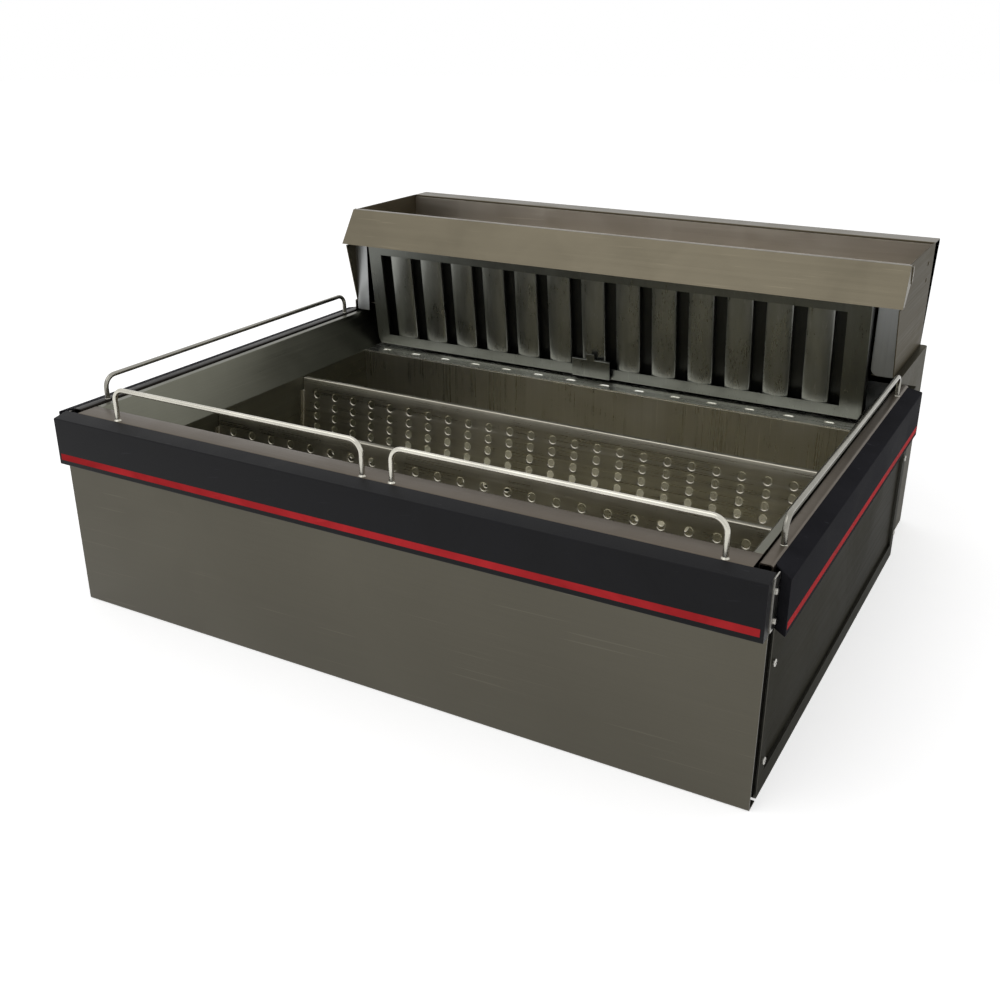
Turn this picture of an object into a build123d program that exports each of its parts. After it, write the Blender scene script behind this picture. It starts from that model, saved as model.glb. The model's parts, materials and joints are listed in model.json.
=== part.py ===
from build123d import *

import math
import os
from itertools import product

# Chip warmer: a low sheet metal body with an open bin, two perforated dividers, a baffle filter
# under a hood at the back, bumper bands, rod rails, and a blower and heater behind the bin.
# +X is the right-hand side seen from the front, +Y is the rear and +Z is up.
# Depths are measured from the face of the front panel; publish() centres the finished model.

# ---- driving dimensions (mm) ----
BODY_WIDTH = 711.0
BODY_DEPTH = 514.0
OVERALL_DEPTH = 651.0
OVERALL_HEIGHT = 334.0
SHEET = 1.2
LEDGE_TOP = 205.5
PANEL_TOP = 200.0
GAP = 0.5

# bumper bands and their stripe
BAND_PROUD = 11.0
BAND_BOTTOM = 155.0
BAND_CREASE = 202.5
BAND_LAP = 5.4
BAND_WALL = 2.5
BAND_ROUND = 1.2
STRIPE_BOTTOM = 160.0
STRIPE_TOP = 166.5
STRIPE_DEPTH = 0.4
SIDE_BAND_FRONT = 6.0
SIDE_BAND_MITRE = 14.0
SIDE_BAND_REAR = 488.0

# side panels
HEM = 2.5
SIDE_FRONT = 18.0
SIDE_STILE = 15.0
SIDE_RAIL = 18.0
FLANGE = 14.0
POST_SETBACK = 13.0

# ledges and bin
LEDGE_DEPTH = 30.0
LEDGE_LIP = 14.0
LEDGE_STRIP = 14.0
RIM_OUTER = 17.0
RIM_INNER = 24.0
CREASE_INSET = 47.5
CREASE_HEIGHT = 164.0
BIN_BACK = 440.0
FLOOR_HEIGHT = 55.0
PAN_TOP = 2 * SHEET
RIM_TURN = 16.0
WALL_REAR = 504.0
GUSSET_REACH = 15.0
FLOOR_HOLE_ROWS = 14
FINGER_HOLE_RADIUS = 12.0
FINGER_HOLE_COLUMN = 10.5
AIR_PORTS = 7
AIR_PORT_PITCH = 80.0
AIR_PORT_HALF = 28.0
AIR_PORT_MARGIN = 12.0

# perforated dividers
DIVIDER_TOP = 163.0
DIVIDER_LEAN = 6.7
DIVIDER_DEPTHS = (165.0, 313.0)
DIVIDER_SHEET = 1.5
DIVIDER_FOLD = 7.0
HOLE_RADIUS = 4.0
HOLE_COLUMNS = 23
COLUMN_PITCH = 26.1
ROW_PITCH = 13.0
ROW_DROP = 18.0
DIVIDER_ROWS = 6

# shelf under the filter
SHELF_TOP = 165.2
DIMPLE_COUNT = 14
DIMPLE_LENGTH = 12.0
DIMPLE_WIDTH = 7.0
DIMPLE_DEPTH = 0.7
DIMPLE_PLACE = 452.0

# rails
ROD = 4.8
ROD_BEND = 12.0
FOOT_RADIUS = 3.4
FOOT_HEIGHT = 1.6
FRONT_RAIL_DEPTH = 9.2
FRONT_RAIL_TOP = 237.0
FRONT_RAIL_ENDS = ((-288.5, -3.5), (26.5, 316.5))
LEFT_RAIL_INSET = 10.6
RIGHT_RAIL_INSET = 8.0
SIDE_RAIL_TOP = 229.0
SIDE_RAIL_ENDS = (50.0, 450.0)

# filter
FILTER_LEFT = -305.0
FILTER_RIGHT = 312.0
FILTER_OPENING = 287.5
FILTER_CLIP = (3.5, 7.0)
FILTER_HEIGHT = 130.0
FILTER_THICK = 16.0
FILTER_LEAN = 7.0
FILTER_FOOT_DEPTH = 468.0
FILTER_FOOT_HEIGHT = 168.0
TOP_RAIL_WIDTH = 12.0
BOTTOM_RAIL_WIDTH = 13.0
BAFFLE_PITCH = 43.4
BAFFLE_WIDTH = 27.5
BAFFLE_COUNT = 13
BAFFLE_LIP = 5.0
REAR_BAFFLE_WIDTH = 27.0
HANDLE_HALF = 24.0
HANDLE_STAND = 7.0
HANDLE_FOOT = 3.0
HANDLE_TOP = 24.0
HANDLE_LIP = 4.0
HANDLE_NECK = 5.0

# hood
HOOD_HALF = 338.7
HOOD_BASE = 218.0
HOOD_FRONT = 473.0
HOOD_REAR = 614.0
VISOR_LIP_DEPTH = 448.0
VISOR_LIP_HEIGHT = 295.0
VISOR_FLARE = 3.0
CHEEK_DROP = 14.0
TRAY_LAP = 6.0
TRAY_FLOOR = 290.0
RIM_DROP = 8.0
FILLER_DEPTH = 470.0
FILLER_TOP = 320.0
LEFT_FILLER = (-320.0, 208.0)
RIGHT_FILLER = (314.5, 218.0)
FILLER_ROUND = 8.0
PLATE_NOSE = (451.5, 293.0)
END_SLOT_DEPTHS = (580.0, 587.0)
END_SLOT_HEIGHTS = (298.0, 316.0)
DUCT_HALF = 314.0

# rear housing
HOUSING_HALF = 345.5
HOUSING_REAR = 617.0
RISER_FRONT = 475.0

# blower
BLOWER_HEIGHT = 78.0
BLOWER_DEPTH = 566.0
BLOWER_PLACE = 165.0
WHEEL_RADIUS = 38.0
WHEEL_WIDTH = 56.0
VANE_COUNT = 24
SCROLL_RADIUS = 46.0
SCROLL_WIDTH = 66.0
DUCT_HEIGHT = 36.0
MOTOR_RADIUS = 36.0
MOTOR_LENGTH = 96.0
SHAFT_RADIUS = 4.0
INLET_RADIUS = 28.0

# heater
HEATER_ENDS = (-280.0, 250.0)
HEATER_DEPTHS = (456.0, 496.0)
HEATER_HEIGHT = 60.0
HEATER_RADIUS = 4.0
HEATER_BEND = 18.0
HEATER_BRACKETS = (-150.0, 150.0)
LIMIT_X = 200.0
LIMIT_HEIGHT = 130.0

# controls on the rear cover
SWITCH_X = -285.0
LAMP_X = -245.0
KNOB_X = -195.0
ROCKER_TILT = 8.0
ROCKER_PIVOT = 2.0
ROCKER_HALF = 8.2
ROCKER_BELLY = 6.0
CONTROL_HEIGHT = 165.0
INLET_X = 285.0
INLET_HEIGHT = 50.0

HALF = BODY_WIDTH / 2
CENTRE_SHIFT = BAND_PROUD - OVERALL_DEPTH / 2
REAR_RIM = OVERALL_DEPTH - BAND_PROUD
INNER_SIDE = HALF - HEM - SHEET
BIN_HALF = HALF - CREASE_INSET


# ---- helpers ----
def publish(node, *solids):
    """Centre the solids of one node front to back and write them."""
    shape = solids[0] if len(solids) == 1 else Compound(children=list(solids))
    export_step(Pos(0, CENTRE_SHIFT, 0) * shape, f"parts/{node}.step")


def block(x0, x1, d0, d1, z0, z1):
    """A box between two opposite corners."""
    middle = Pos((x0 + x1) / 2, (d0 + d1) / 2, (z0 + z1) / 2)
    return middle * Box(x1 - x0, d1 - d0, z1 - z0)


def rod_between(start, end, radius):
    """A round bar from one point to another."""
    axis = Vector(*end) - Vector(*start)
    plane = Plane(origin=start, z_dir=axis)
    return extrude(plane * Circle(radius), axis.length)


def mirrored(solid):
    """The same piece for the other side."""
    return mirror(solid, about=Plane.YZ)


def offset_corner(before, corner, after, thickness):
    """The point where a sheet's far face turns, for a path that turns at corner."""
    ax, ay = corner[0] - before[0], corner[1] - before[1]
    bx, by = after[0] - corner[0], after[1] - corner[1]
    a_length, b_length = math.hypot(ax, ay), math.hypot(bx, by)
    na = (ay / a_length, -ax / a_length)
    nb = (by / b_length, -bx / b_length)
    share = thickness / (1 + na[0] * nb[0] + na[1] * nb[1])
    return corner[0] + (na[0] + nb[0]) * share, corner[1] + (na[1] + nb[1]) * share


def folded(path, thickness=SHEET):
    """Outline of a folded sheet: the path, and its far face to the right of the path."""
    ahead = [(2 * path[0][0] - path[1][0], 2 * path[0][1] - path[1][1])]
    beyond = [(2 * path[-1][0] - path[-2][0], 2 * path[-1][1] - path[-2][1])]
    full = ahead + list(path) + beyond
    far = [offset_corner(*full[i - 1 : i + 2], thickness) for i in range(1, len(full) - 1)]
    return list(path) + far[::-1]


def across(outline, x0, x1):
    """Extrude a (depth, height) outline along the width."""
    wire = Wire.make_polygon([Vector(x0, d, z) for d, z in outline], close=True)
    return Solid.extrude(Face(wire), Vector(x1 - x0, 0, 0))


def along(outline, d0, d1):
    """Extrude an (x, height) outline along the depth."""
    wire = Wire.make_polygon([Vector(x, d0, z) for x, z in outline], close=True)
    return Solid.extrude(Face(wire), Vector(0, d1 - d0, 0))


def upright(outline, z0, z1):
    """Extrude an (x, depth) outline upwards."""
    wire = Wire.make_polygon([Vector(x, d, z0) for x, d in outline], close=True)
    return Solid.extrude(Face(wire), Vector(0, 0, z1 - z0))


def from_side(path):
    """Turn (inset from the right side plane, height) points into (x, height)."""
    return [(HALF - inset, z) for inset, z in path]


def pan_screw(x, d, z, turn, radius=3.2, height=1.6):
    """A low domed screw head whose flat side sits at the place, facing along turn."""
    dome = Cylinder(radius, height, align=(Align.CENTER, Align.CENTER, Align.MIN))
    dome = fillet(dome.edges().sort_by(Axis.Z)[-1], height * 0.45)
    slot = Pos(0, 0, height) * Box(radius * 1.3, 0.7, height * 0.8)
    cross = Pos(0, 0, height) * Box(0.7, radius * 1.3, height * 0.8)
    return Pos(x, d, z) * turn * (dome - slot - cross)


TURN_RIGHT = Rot(0, 90, 0)
TURN_REAR = Rot(-90, 0, 0)


# ---- body shell ----
def base_pan():
    path = [(SHEET, 28), (SHEET, PAN_TOP), (BODY_DEPTH - SHEET, PAN_TOP), (BODY_DEPTH - SHEET, 28)]
    outline = folded([(d, z - SHEET) if z == PAN_TOP else (d, z) for d, z in path], -SHEET)
    return across(outline, -INNER_SIDE, INNER_SIDE)


def front_panel():
    path = [(FLANGE, 0), (0, 0), (0, PANEL_TOP), (FLANGE, PANEL_TOP)]
    return across(folded(path), -HALF, HALF)


def body_back_panel():
    rear = BODY_DEPTH
    sheet = block(-INNER_SIDE, INNER_SIDE, rear - SHEET, rear, SHEET, PANEL_TOP - SHEET)
    low = BLOWER_HEIGHT - SCROLL_RADIUS + 4
    for side in (-1, 1):
        middle = side * BLOWER_PLACE
        sheet -= block(middle - 28, middle + 28, rear - 5, rear + 5, low, low + DUCT_HEIGHT - 6)
    return sheet


def side_panel():
    """Hemmed frame of the right side, with flanges turned in at the foot and the top."""
    frame = block(HALF - HEM, HALF, SIDE_FRONT, BODY_DEPTH, 0, PANEL_TOP)
    window_front = SIDE_FRONT + SIDE_STILE
    window_rear = BODY_DEPTH - FLANGE
    window_top = PANEL_TOP - SIDE_RAIL
    frame -= block(HALF - 9, HALF + 9, window_front, window_rear, SIDE_RAIL, window_top)
    foot = block(HALF - FLANGE, HALF, SIDE_FRONT, BODY_DEPTH, 0, SHEET)
    top = block(HALF - FLANGE, HALF, FLANGE, BODY_DEPTH, PANEL_TOP - SHEET, PANEL_TOP)
    return frame + foot + top


def side_inset():
    inner, outer = HALF - HEM - SHEET, HALF - HEM
    return block(inner, outer, SIDE_FRONT + 6, BODY_DEPTH - 6, 8, PANEL_TOP - 4)


def corner_post():
    """Set-back post that closes the corner between the front and side panels."""
    inner = HALF - POST_SETBACK
    front, rear = 2 * SHEET, SIDE_FRONT + 2
    path = [(inner - FLANGE, front), (inner, front), (inner, rear), (HALF - HEM, rear)]
    return upright(folded(path, -SHEET), PAN_TOP, PANEL_TOP - SHEET)


def corner_bracket():
    """Angle that ties the band ends together over the corner."""
    strip = block(HALF, HALF + SHEET, 1.0, 13.5, 158, 203)
    foot = block(HALF - HEM, HALF, SIDE_FRONT - 8, SIDE_FRONT, 158, 196)
    return strip + foot


# ---- bands, stripes, ledges ----
def band_outline():
    """Section of a band: (distance inside the panel face, height)."""
    return [(0, BAND_BOTTOM), (-BAND_PROUD, BAND_BOTTOM), (-BAND_PROUD, BAND_CREASE),
            (BAND_LAP, LEDGE_TOP), (BAND_LAP, LEDGE_TOP - 2), (0, LEDGE_TOP - 3)]


def band_hollow():
    inner = BAND_WALL - BAND_PROUD
    return [(0.0, BAND_BOTTOM + BAND_WALL), (inner, BAND_BOTTOM + BAND_WALL),
            (inner, BAND_CREASE - BAND_WALL), (0.0, BAND_CREASE - BAND_WALL)]


def front_band():
    bar = across(band_outline(), -HALF + 1, HALF)
    long_edges = bar.edges().filter_by(Axis.X).sort_by(Axis.Y)[:2]
    bar = fillet(long_edges, BAND_ROUND)
    bar -= across(band_hollow(), -HALF + 4, HALF - 3)
    return bar - stripe_block(-HALF + 4, HALF - 3)


def stripe_block(x0, x1):
    return block(x0, x1, -BAND_PROUD, -BAND_PROUD + STRIPE_DEPTH, STRIPE_BOTTOM, STRIPE_TOP)


def side_band():
    outline = [(HALF - d, z) for d, z in band_outline()]
    bar = along(outline, 0, SIDE_BAND_REAR)
    long_edges = bar.edges().filter_by(Axis.Y).sort_by(Axis.X)[-2:]
    bar = fillet(long_edges, BAND_ROUND)
    hollow = [(HALF - d, z) for d, z in band_hollow()]
    bar -= along(hollow, SIDE_BAND_FRONT + SIDE_BAND_MITRE + 4, SIDE_BAND_REAR - 3)
    inner, outer = HALF - BAND_LAP, HALF + BAND_PROUD
    mitre = [(inner - 9, -9), (outer + 9, -9), (outer + 9, SIDE_BAND_FRONT),
             (outer, SIDE_BAND_FRONT), (inner, SIDE_BAND_FRONT + SIDE_BAND_MITRE),
             (inner - 9, SIDE_BAND_FRONT + SIDE_BAND_MITRE)]
    return bar - upright(mitre, 0, OVERALL_HEIGHT) - side_stripe()


def side_stripe():
    face = HALF + BAND_PROUD
    front, rear = SIDE_BAND_FRONT + 3, SIDE_BAND_REAR - 3
    return block(face - STRIPE_DEPTH, face, front, rear, STRIPE_BOTTOM, STRIPE_TOP)


def front_ledge():
    path = [(BAND_LAP, PANEL_TOP), (BAND_LAP, LEDGE_TOP), (LEDGE_DEPTH, LEDGE_TOP),
            (LEDGE_DEPTH, LEDGE_TOP - LEDGE_LIP)]
    return across(folded(path), RIM_OUTER - HALF, HALF - RIM_OUTER)


def side_ledge():
    path = [(BAND_LAP, PANEL_TOP), (BAND_LAP, LEDGE_TOP), (LEDGE_STRIP, LEDGE_TOP), (LEDGE_STRIP, PANEL_TOP)]
    return along(folded(from_side(path), -SHEET), SIDE_BAND_FRONT + 6, SIDE_BAND_REAR + 2)


# ---- rails ----
def bent_rail(start, end, base, top):
    """A rod bent into a low hoop between two feet."""
    corners = [(*start, base), (*start, top), (*end, top), (*end, base)]
    path = FilletPolyline(*corners, radius=ROD_BEND)
    section = Plane(origin=corners[0], z_dir=(0, 0, 1)) * Circle(ROD / 2)
    return sweep(section, path=path)


def rail_foot(x, d):
    ring = Cylinder(FOOT_RADIUS, FOOT_HEIGHT, align=(Align.CENTER, Align.CENTER, Align.MIN))
    hole = Cylinder(ROD / 2, FOOT_HEIGHT, align=(Align.CENTER, Align.CENTER, Align.MIN))
    return Pos(x, d, LEDGE_TOP) * (ring - hole)


# ---- bin ----
def bin_side_wall():
    """Right wall: turned-down rim, slope to the crease, then upright to the pan."""
    path = [(RIM_OUTER, LEDGE_TOP - RIM_TURN), (RIM_OUTER, LEDGE_TOP), (RIM_INNER, LEDGE_TOP),
            (CREASE_INSET, CREASE_HEIGHT), (CREASE_INSET, PAN_TOP)]
    wall = along(folded(from_side(path), -SHEET), LEDGE_DEPTH, WALL_REAR)
    below_shelf = block(BIN_HALF - 5, HALF, BIN_BACK + SHEET, BODY_DEPTH, 0, CREASE_HEIGHT - 2)
    return wall - below_shelf


def bin_front_wall():
    wall = block(-BIN_HALF, BIN_HALF, LEDGE_DEPTH - SHEET, LEDGE_DEPTH, PAN_TOP, LEDGE_TOP - LEDGE_LIP)
    top = LEDGE_TOP - LEDGE_LIP
    gusset = [(BIN_HALF, CREASE_HEIGHT), (BIN_HALF + GUSSET_REACH, top), (BIN_HALF, top)]
    right = along(gusset, LEDGE_DEPTH - SHEET, LEDGE_DEPTH)
    return wall + right + mirrored(right)


def bin_back_wall():
    wall = block(-BIN_HALF, BIN_HALF, BIN_BACK, BIN_BACK + SHEET, PAN_TOP, SHELF_TOP - SHEET)
    for index in range(AIR_PORTS):
        place = (index - (AIR_PORTS - 1) / 2) * AIR_PORT_PITCH
        wall -= block(place - AIR_PORT_HALF, place + AIR_PORT_HALF, BIN_BACK - 5, BIN_BACK + 5,
                      AIR_PORT_MARGIN, FLOOR_HEIGHT - AIR_PORT_MARGIN)
    return wall


def filter_shelf():
    """Shelf behind the bin, with a row of pressed dimples in front of the filter."""
    path = [(BIN_BACK, SHELF_TOP), (BODY_DEPTH - SHEET, SHELF_TOP)]
    shelf = across(folded(path), -BIN_HALF, BIN_HALF)
    for index in range(DIMPLE_COUNT):
        place = (index - (DIMPLE_COUNT - 1) / 2) * BAFFLE_PITCH
        dimple = SlotOverall(DIMPLE_LENGTH, DIMPLE_WIDTH)
        shelf -= Pos(place, DIMPLE_PLACE, SHELF_TOP - DIMPLE_DEPTH) * extrude(dimple, 2)
    return shelf


def hole_places(rows, first, pitch):
    for column in range(HOLE_COLUMNS):
        x = (column - (HOLE_COLUMNS - 1) / 2) * COLUMN_PITCH
        for row in range(rows):
            yield x, first + row * pitch


def bin_floor():
    """Perforated lift-out floor standing on turned-down edges, with a finger hole at each side."""
    half, front, rear = BIN_HALF - GAP, LEDGE_DEPTH + GAP, BIN_BACK - GAP
    tray = block(-half, half, front, rear, PAN_TOP, FLOOR_HEIGHT)
    tray -= block(-half + SHEET, half - SHEET, front - 9, rear + 9, 0, FLOOR_HEIGHT - SHEET)
    middle = (front + rear) / 2
    first = middle - (FLOOR_HOLE_ROWS - 1) * COLUMN_PITCH / 2
    finger_x = FINGER_HOLE_COLUMN * COLUMN_PITCH
    places = [(x, d) for x, d in hole_places(FLOOR_HOLE_ROWS, first, COLUMN_PITCH)
              if max(abs(abs(x) - finger_x), abs(d - middle)) > COLUMN_PITCH * 0.6]
    cutters = Sketch() + [Pos(x, d) * Circle(HOLE_RADIUS) for x, d in places]
    cutters += [Pos(side * finger_x, middle) * Circle(FINGER_HOLE_RADIUS) for side in (-1, 1)]
    return tray - Pos(0, 0, FLOOR_HEIGHT - 5) * extrude(cutters, 10)


def divider(top_depth):
    """Perforated divider with folded top, end and foot flanges, leaning back."""
    height = (DIVIDER_TOP - FLOOR_HEIGHT) / math.cos(math.radians(DIVIDER_LEAN)) - 0.3
    half = BIN_HALF - GAP - 0.4
    sheet = block(-half, half, 0, DIVIDER_SHEET, 0, height)
    cutters = Sketch() + [Pos(x, z) * Circle(HOLE_RADIUS)
                          for x, z in hole_places(DIVIDER_ROWS, height - ROW_DROP, -ROW_PITCH)]
    drill = extrude(Plane.XZ * cutters, 9, both=True)
    sheet -= drill
    top = block(-half, half, 0, DIVIDER_FOLD, height - DIVIDER_SHEET, height)
    end = block(half - DIVIDER_SHEET, half, -DIVIDER_FOLD, DIVIDER_SHEET, 0, height - 15)
    piece = sheet + top + end + mirrored(end)
    piece = Rot(-DIVIDER_LEAN, 0, 0) * piece
    foot_depth = top_depth - (DIVIDER_TOP - FLOOR_HEIGHT) * math.tan(math.radians(DIVIDER_LEAN))
    piece = Pos(0, foot_depth, FLOOR_HEIGHT) * piece
    return piece - block(-HALF, HALF, 0, BODY_DEPTH, 0, FLOOR_HEIGHT)


# ---- filter ----
def lean_filter(solid):
    """Stand a piece built upright at the filter's foot in its leaning place."""
    return Pos(0, FILTER_FOOT_DEPTH, FILTER_FOOT_HEIGHT) * Rot(FILTER_LEAN, 0, 0) * solid


def filter_frame():
    """Hollow frame with the slats' opening in the middle and its two lower corners clipped."""
    left, right = FILTER_LEFT, FILTER_RIGHT
    frame = block(left, right, 0, FILTER_THICK, 0, FILTER_HEIGHT)
    frame -= block(-FILTER_OPENING, FILTER_OPENING, -9, FILTER_THICK + 9,
                   BOTTOM_RAIL_WIDTH, FILTER_HEIGHT - TOP_RAIL_WIDTH)
    frame -= block(left + SHEET, right - SHEET, SHEET, FILTER_THICK - SHEET, SHEET, FILTER_HEIGHT - SHEET)
    across_clip, up_clip = FILTER_CLIP
    for edge, inwards in ((left, across_clip), (right, -across_clip)):
        frame -= along([(edge + inwards, 0), (edge, 0), (edge, up_clip)], 0, FILTER_THICK)
    return lean_filter(frame)


def baffle(x, width, front, rear, open_to_rear):
    """One channel-shaped slat, its lips turned towards the other row."""
    bottom, top = BOTTOM_RAIL_WIDTH - 6, FILTER_HEIGHT - TOP_RAIL_WIDTH + 6
    slat = block(x - width / 2, x + width / 2, front, rear, bottom, top)
    trough = (front + SHEET, rear + 9) if open_to_rear else (front - 9, rear - SHEET)
    slat -= block(x - width / 2 + SHEET, x + width / 2 - SHEET, *trough, 0, FILTER_HEIGHT)
    return slat


def front_baffles():
    """The row of slats that faces the bin."""
    front = SHEET
    slats = []
    for index in range(BAFFLE_COUNT):
        place = (index - (BAFFLE_COUNT - 1) / 2) * BAFFLE_PITCH
        slats.append(baffle(place, BAFFLE_WIDTH, front, front + BAFFLE_LIP, True))
    return [lean_filter(slat) for slat in slats]


def rear_baffles():
    """The row behind, its slats standing behind the gaps of the front row."""
    rear = FILTER_THICK - SHEET
    slats = []
    for index in range(BAFFLE_COUNT + 1):
        place = (index - BAFFLE_COUNT / 2) * BAFFLE_PITCH
        slats.append(baffle(place, REAR_BAFFLE_WIDTH, rear - BAFFLE_LIP, rear, False))
    return [lean_filter(slat) for slat in slats]


def filter_handle():
    """Pull plate at the foot of the middle slat, on a short neck."""
    half, out, top = HANDLE_HALF, -HANDLE_STAND, HANDLE_TOP
    plate = block(-half, half, out, out + SHEET, HANDLE_FOOT, top)
    lip = block(-half, half, out, out + HANDLE_LIP, top - SHEET, top)
    foot = block(-half, half, out, 0, HANDLE_FOOT - 1, HANDLE_FOOT + SHEET)
    neck = block(-HANDLE_NECK, HANDLE_NECK, out, out + SHEET, top, top + HANDLE_STAND)
    return lean_filter(plate + lip + foot + neck)


# ---- hood ----
def hood_visor():
    """Sloped front sheet with a hemmed lip and short returns at its ends."""
    half = HOOD_HALF + VISOR_FLARE
    lip_depth, lip_height = VISOR_LIP_DEPTH, VISOR_LIP_HEIGHT
    rise = (OVERALL_HEIGHT - lip_height) / (HOOD_FRONT - lip_depth)
    path = [(lip_depth + 2.6, lip_height), (lip_depth, lip_height), (HOOD_FRONT, OVERALL_HEIGHT),
            (HOOD_FRONT + TRAY_LAP, OVERALL_HEIGHT)]
    sheet = across(folded(path), -half, half)
    under = OVERALL_HEIGHT - 2
    cheek = [(lip_depth + 1.5, lip_height + 1.5 * rise), (HOOD_FRONT, under), (HOOD_FRONT + 9, under),
             (HOOD_FRONT + 9, under - CHEEK_DROP), (lip_depth + 6, lip_height)]
    right = across(cheek, HOOD_HALF + 0.2, half)
    narrow, beyond = HOOD_HALF + 1.4, half + 9
    taper = [(beyond, 0), (beyond, 400), (narrow, 400), (narrow, OVERALL_HEIGHT), (half, lip_height), (half, 0)]
    trim = along(taper, 400, HOOD_FRONT + 5)
    return sheet + right + mirrored(right) - trim - mirrored(trim)


def hood_end():
    """Right end plate of the hood, its front edge slanting forward under the visor."""
    inner, outer = HOOD_HALF - SHEET, HOOD_HALF
    front, rear = FILLER_DEPTH, HOOD_REAR - SHEET
    nose_depth, nose_height = PLATE_NOSE
    plate = block(inner, outer, front, rear, HOOD_BASE, OVERALL_HEIGHT)
    behind_visor = [(front - 1, VISOR_LIP_HEIGHT), (front - 1, OVERALL_HEIGHT + 1),
                    (HOOD_FRONT + 1, OVERALL_HEIGHT + 1), (HOOD_FRONT + 1, OVERALL_HEIGHT - SHEET)]
    plate -= across(behind_visor, inner - 9, outer + 9)
    plate -= block(inner - 9, outer + 9, front - 1, HOOD_FRONT + TRAY_LAP, OVERALL_HEIGHT - SHEET, 400)
    return plate + across([(front, HOOD_BASE), (nose_depth, nose_height), (front, nose_height)], inner, outer)


def slotted(plate):
    """The right end plate with its two short slots."""
    front, rear = END_SLOT_DEPTHS
    for height in END_SLOT_HEIGHTS:
        plate -= block(HOOD_HALF - 9, HOOD_HALF + 9, front, rear, height - 2, height + 2)
    return plate


def hood_back():
    """Back wall of the hood; its top turns rearwards and down as a rim."""
    rim, top = REAR_RIM - SHEET, OVERALL_HEIGHT - SHEET
    path = [(HOOD_REAR, HOOD_BASE), (HOOD_REAR, top), (rim, top), (rim, OVERALL_HEIGHT - RIM_DROP)]
    return across(folded(path, -SHEET), -HOOD_HALF, HOOD_HALF)


def hood_tray():
    """Open-topped tray let into the hood."""
    front, rear, top = HOOD_FRONT + TRAY_LAP, HOOD_REAR - SHEET, OVERALL_HEIGHT
    path = [(front, top), (front, TRAY_FLOOR), (rear, TRAY_FLOOR), (rear, top - 2 * SHEET)]
    half = HOOD_HALF - SHEET
    return across(folded(path, -SHEET), -half, half)


def filler_strips():
    """Strips between the filter and the hood's ends; the right one has a rounded lower corner."""
    outer, front, rear = HOOD_HALF - SHEET, FILLER_DEPTH, FILLER_DEPTH + SHEET
    left = block(-outer, LEFT_FILLER[0], front, rear, LEFT_FILLER[1], FILLER_TOP)
    right = block(RIGHT_FILLER[0], outer, front, rear, RIGHT_FILLER[1], FILLER_TOP)
    corner = right.edges().filter_by(Axis.Y).sort_by(Axis.X)[:2].sort_by(Axis.Z)[0]
    return left, fillet(corner, FILLER_ROUND)


# ---- rear housing ----
def housing_side():
    """Right side of the rear housing, with a riser that reaches forward under the hood."""
    profile = [(BODY_DEPTH, 0), (HOUSING_REAR, 0), (HOUSING_REAR, HOOD_BASE), (RISER_FRONT, HOOD_BASE),
               (RISER_FRONT, LEDGE_TOP + GAP), (SIDE_BAND_REAR + 3, LEDGE_TOP + GAP),
               (SIDE_BAND_REAR + 3, PANEL_TOP), (BODY_DEPTH, PANEL_TOP)]
    return across(profile, HOUSING_HALF - SHEET, HOUSING_HALF)


def housing_top():
    """Flange round the hood's foot, open in the middle for the return air."""
    half = HOUSING_HALF - SHEET
    deck = block(-half, half, RISER_FRONT, HOUSING_REAR - SHEET, HOOD_BASE - SHEET, HOOD_BASE)
    return deck - block(-DUCT_HALF, DUCT_HALF, RISER_FRONT - 9, HOUSING_REAR - 15, HOOD_BASE - 9, HOOD_BASE + 9)


def housing_base():
    half = HOUSING_HALF - SHEET
    path = [(BODY_DEPTH, SHEET), (HOUSING_REAR - SHEET, SHEET)]
    return across(folded(path), -half, half)


def rear_cover():
    """Back plate with louvre slots, a cable hole and cut-outs for the controls."""
    half = HOUSING_HALF - SHEET
    front, rear = HOUSING_REAR - SHEET, HOUSING_REAR
    plate = block(-half, half, front, rear, 0, HOOD_BASE)
    for side in (-1, 1):
        for row in range(6):
            height = 45 + row * 12
            middle = side * BLOWER_PLACE
            plate -= block(middle - 32, middle + 32, front - 9, rear + 9, height, height + 4)
    plate -= block(SWITCH_X - 11, SWITCH_X + 11, front - 9, rear + 9, CONTROL_HEIGHT - 15, CONTROL_HEIGHT + 15)
    for x, radius in ((LAMP_X, 5.0), (KNOB_X, 5.0)):
        plate -= rod_between((x, front - 9, CONTROL_HEIGHT), (x, rear + 9, CONTROL_HEIGHT), radius)
    plate -= rod_between((INLET_X, front - 9, INLET_HEIGHT), (INLET_X, rear + 9, INLET_HEIGHT), 11.0)
    return plate


# ---- air mover and heater ----
def blower_housing(middle):
    """Scroll round one wheel, with an inlet in each cheek and an outlet duct to the body."""
    centre = (BLOWER_DEPTH, BLOWER_HEIGHT)
    low = BLOWER_HEIGHT - SCROLL_RADIUS
    left, right = middle - SCROLL_WIDTH / 2, middle + SCROLL_WIDTH / 2
    outer = rod_between((left, *centre), (right, *centre), SCROLL_RADIUS)
    outer += block(left, right, BODY_DEPTH, BLOWER_DEPTH, low, low + DUCT_HEIGHT)
    eye = rod_between((left - 9, *centre), (right + 9, *centre), INLET_RADIUS)
    left, right = left + SHEET, right - SHEET
    inner = rod_between((left, *centre), (right, *centre), SCROLL_RADIUS - SHEET)
    inner += block(left, right, BODY_DEPTH - 9, BLOWER_DEPTH, low + SHEET, low + DUCT_HEIGHT - SHEET)
    return outer - inner - eye


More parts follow.
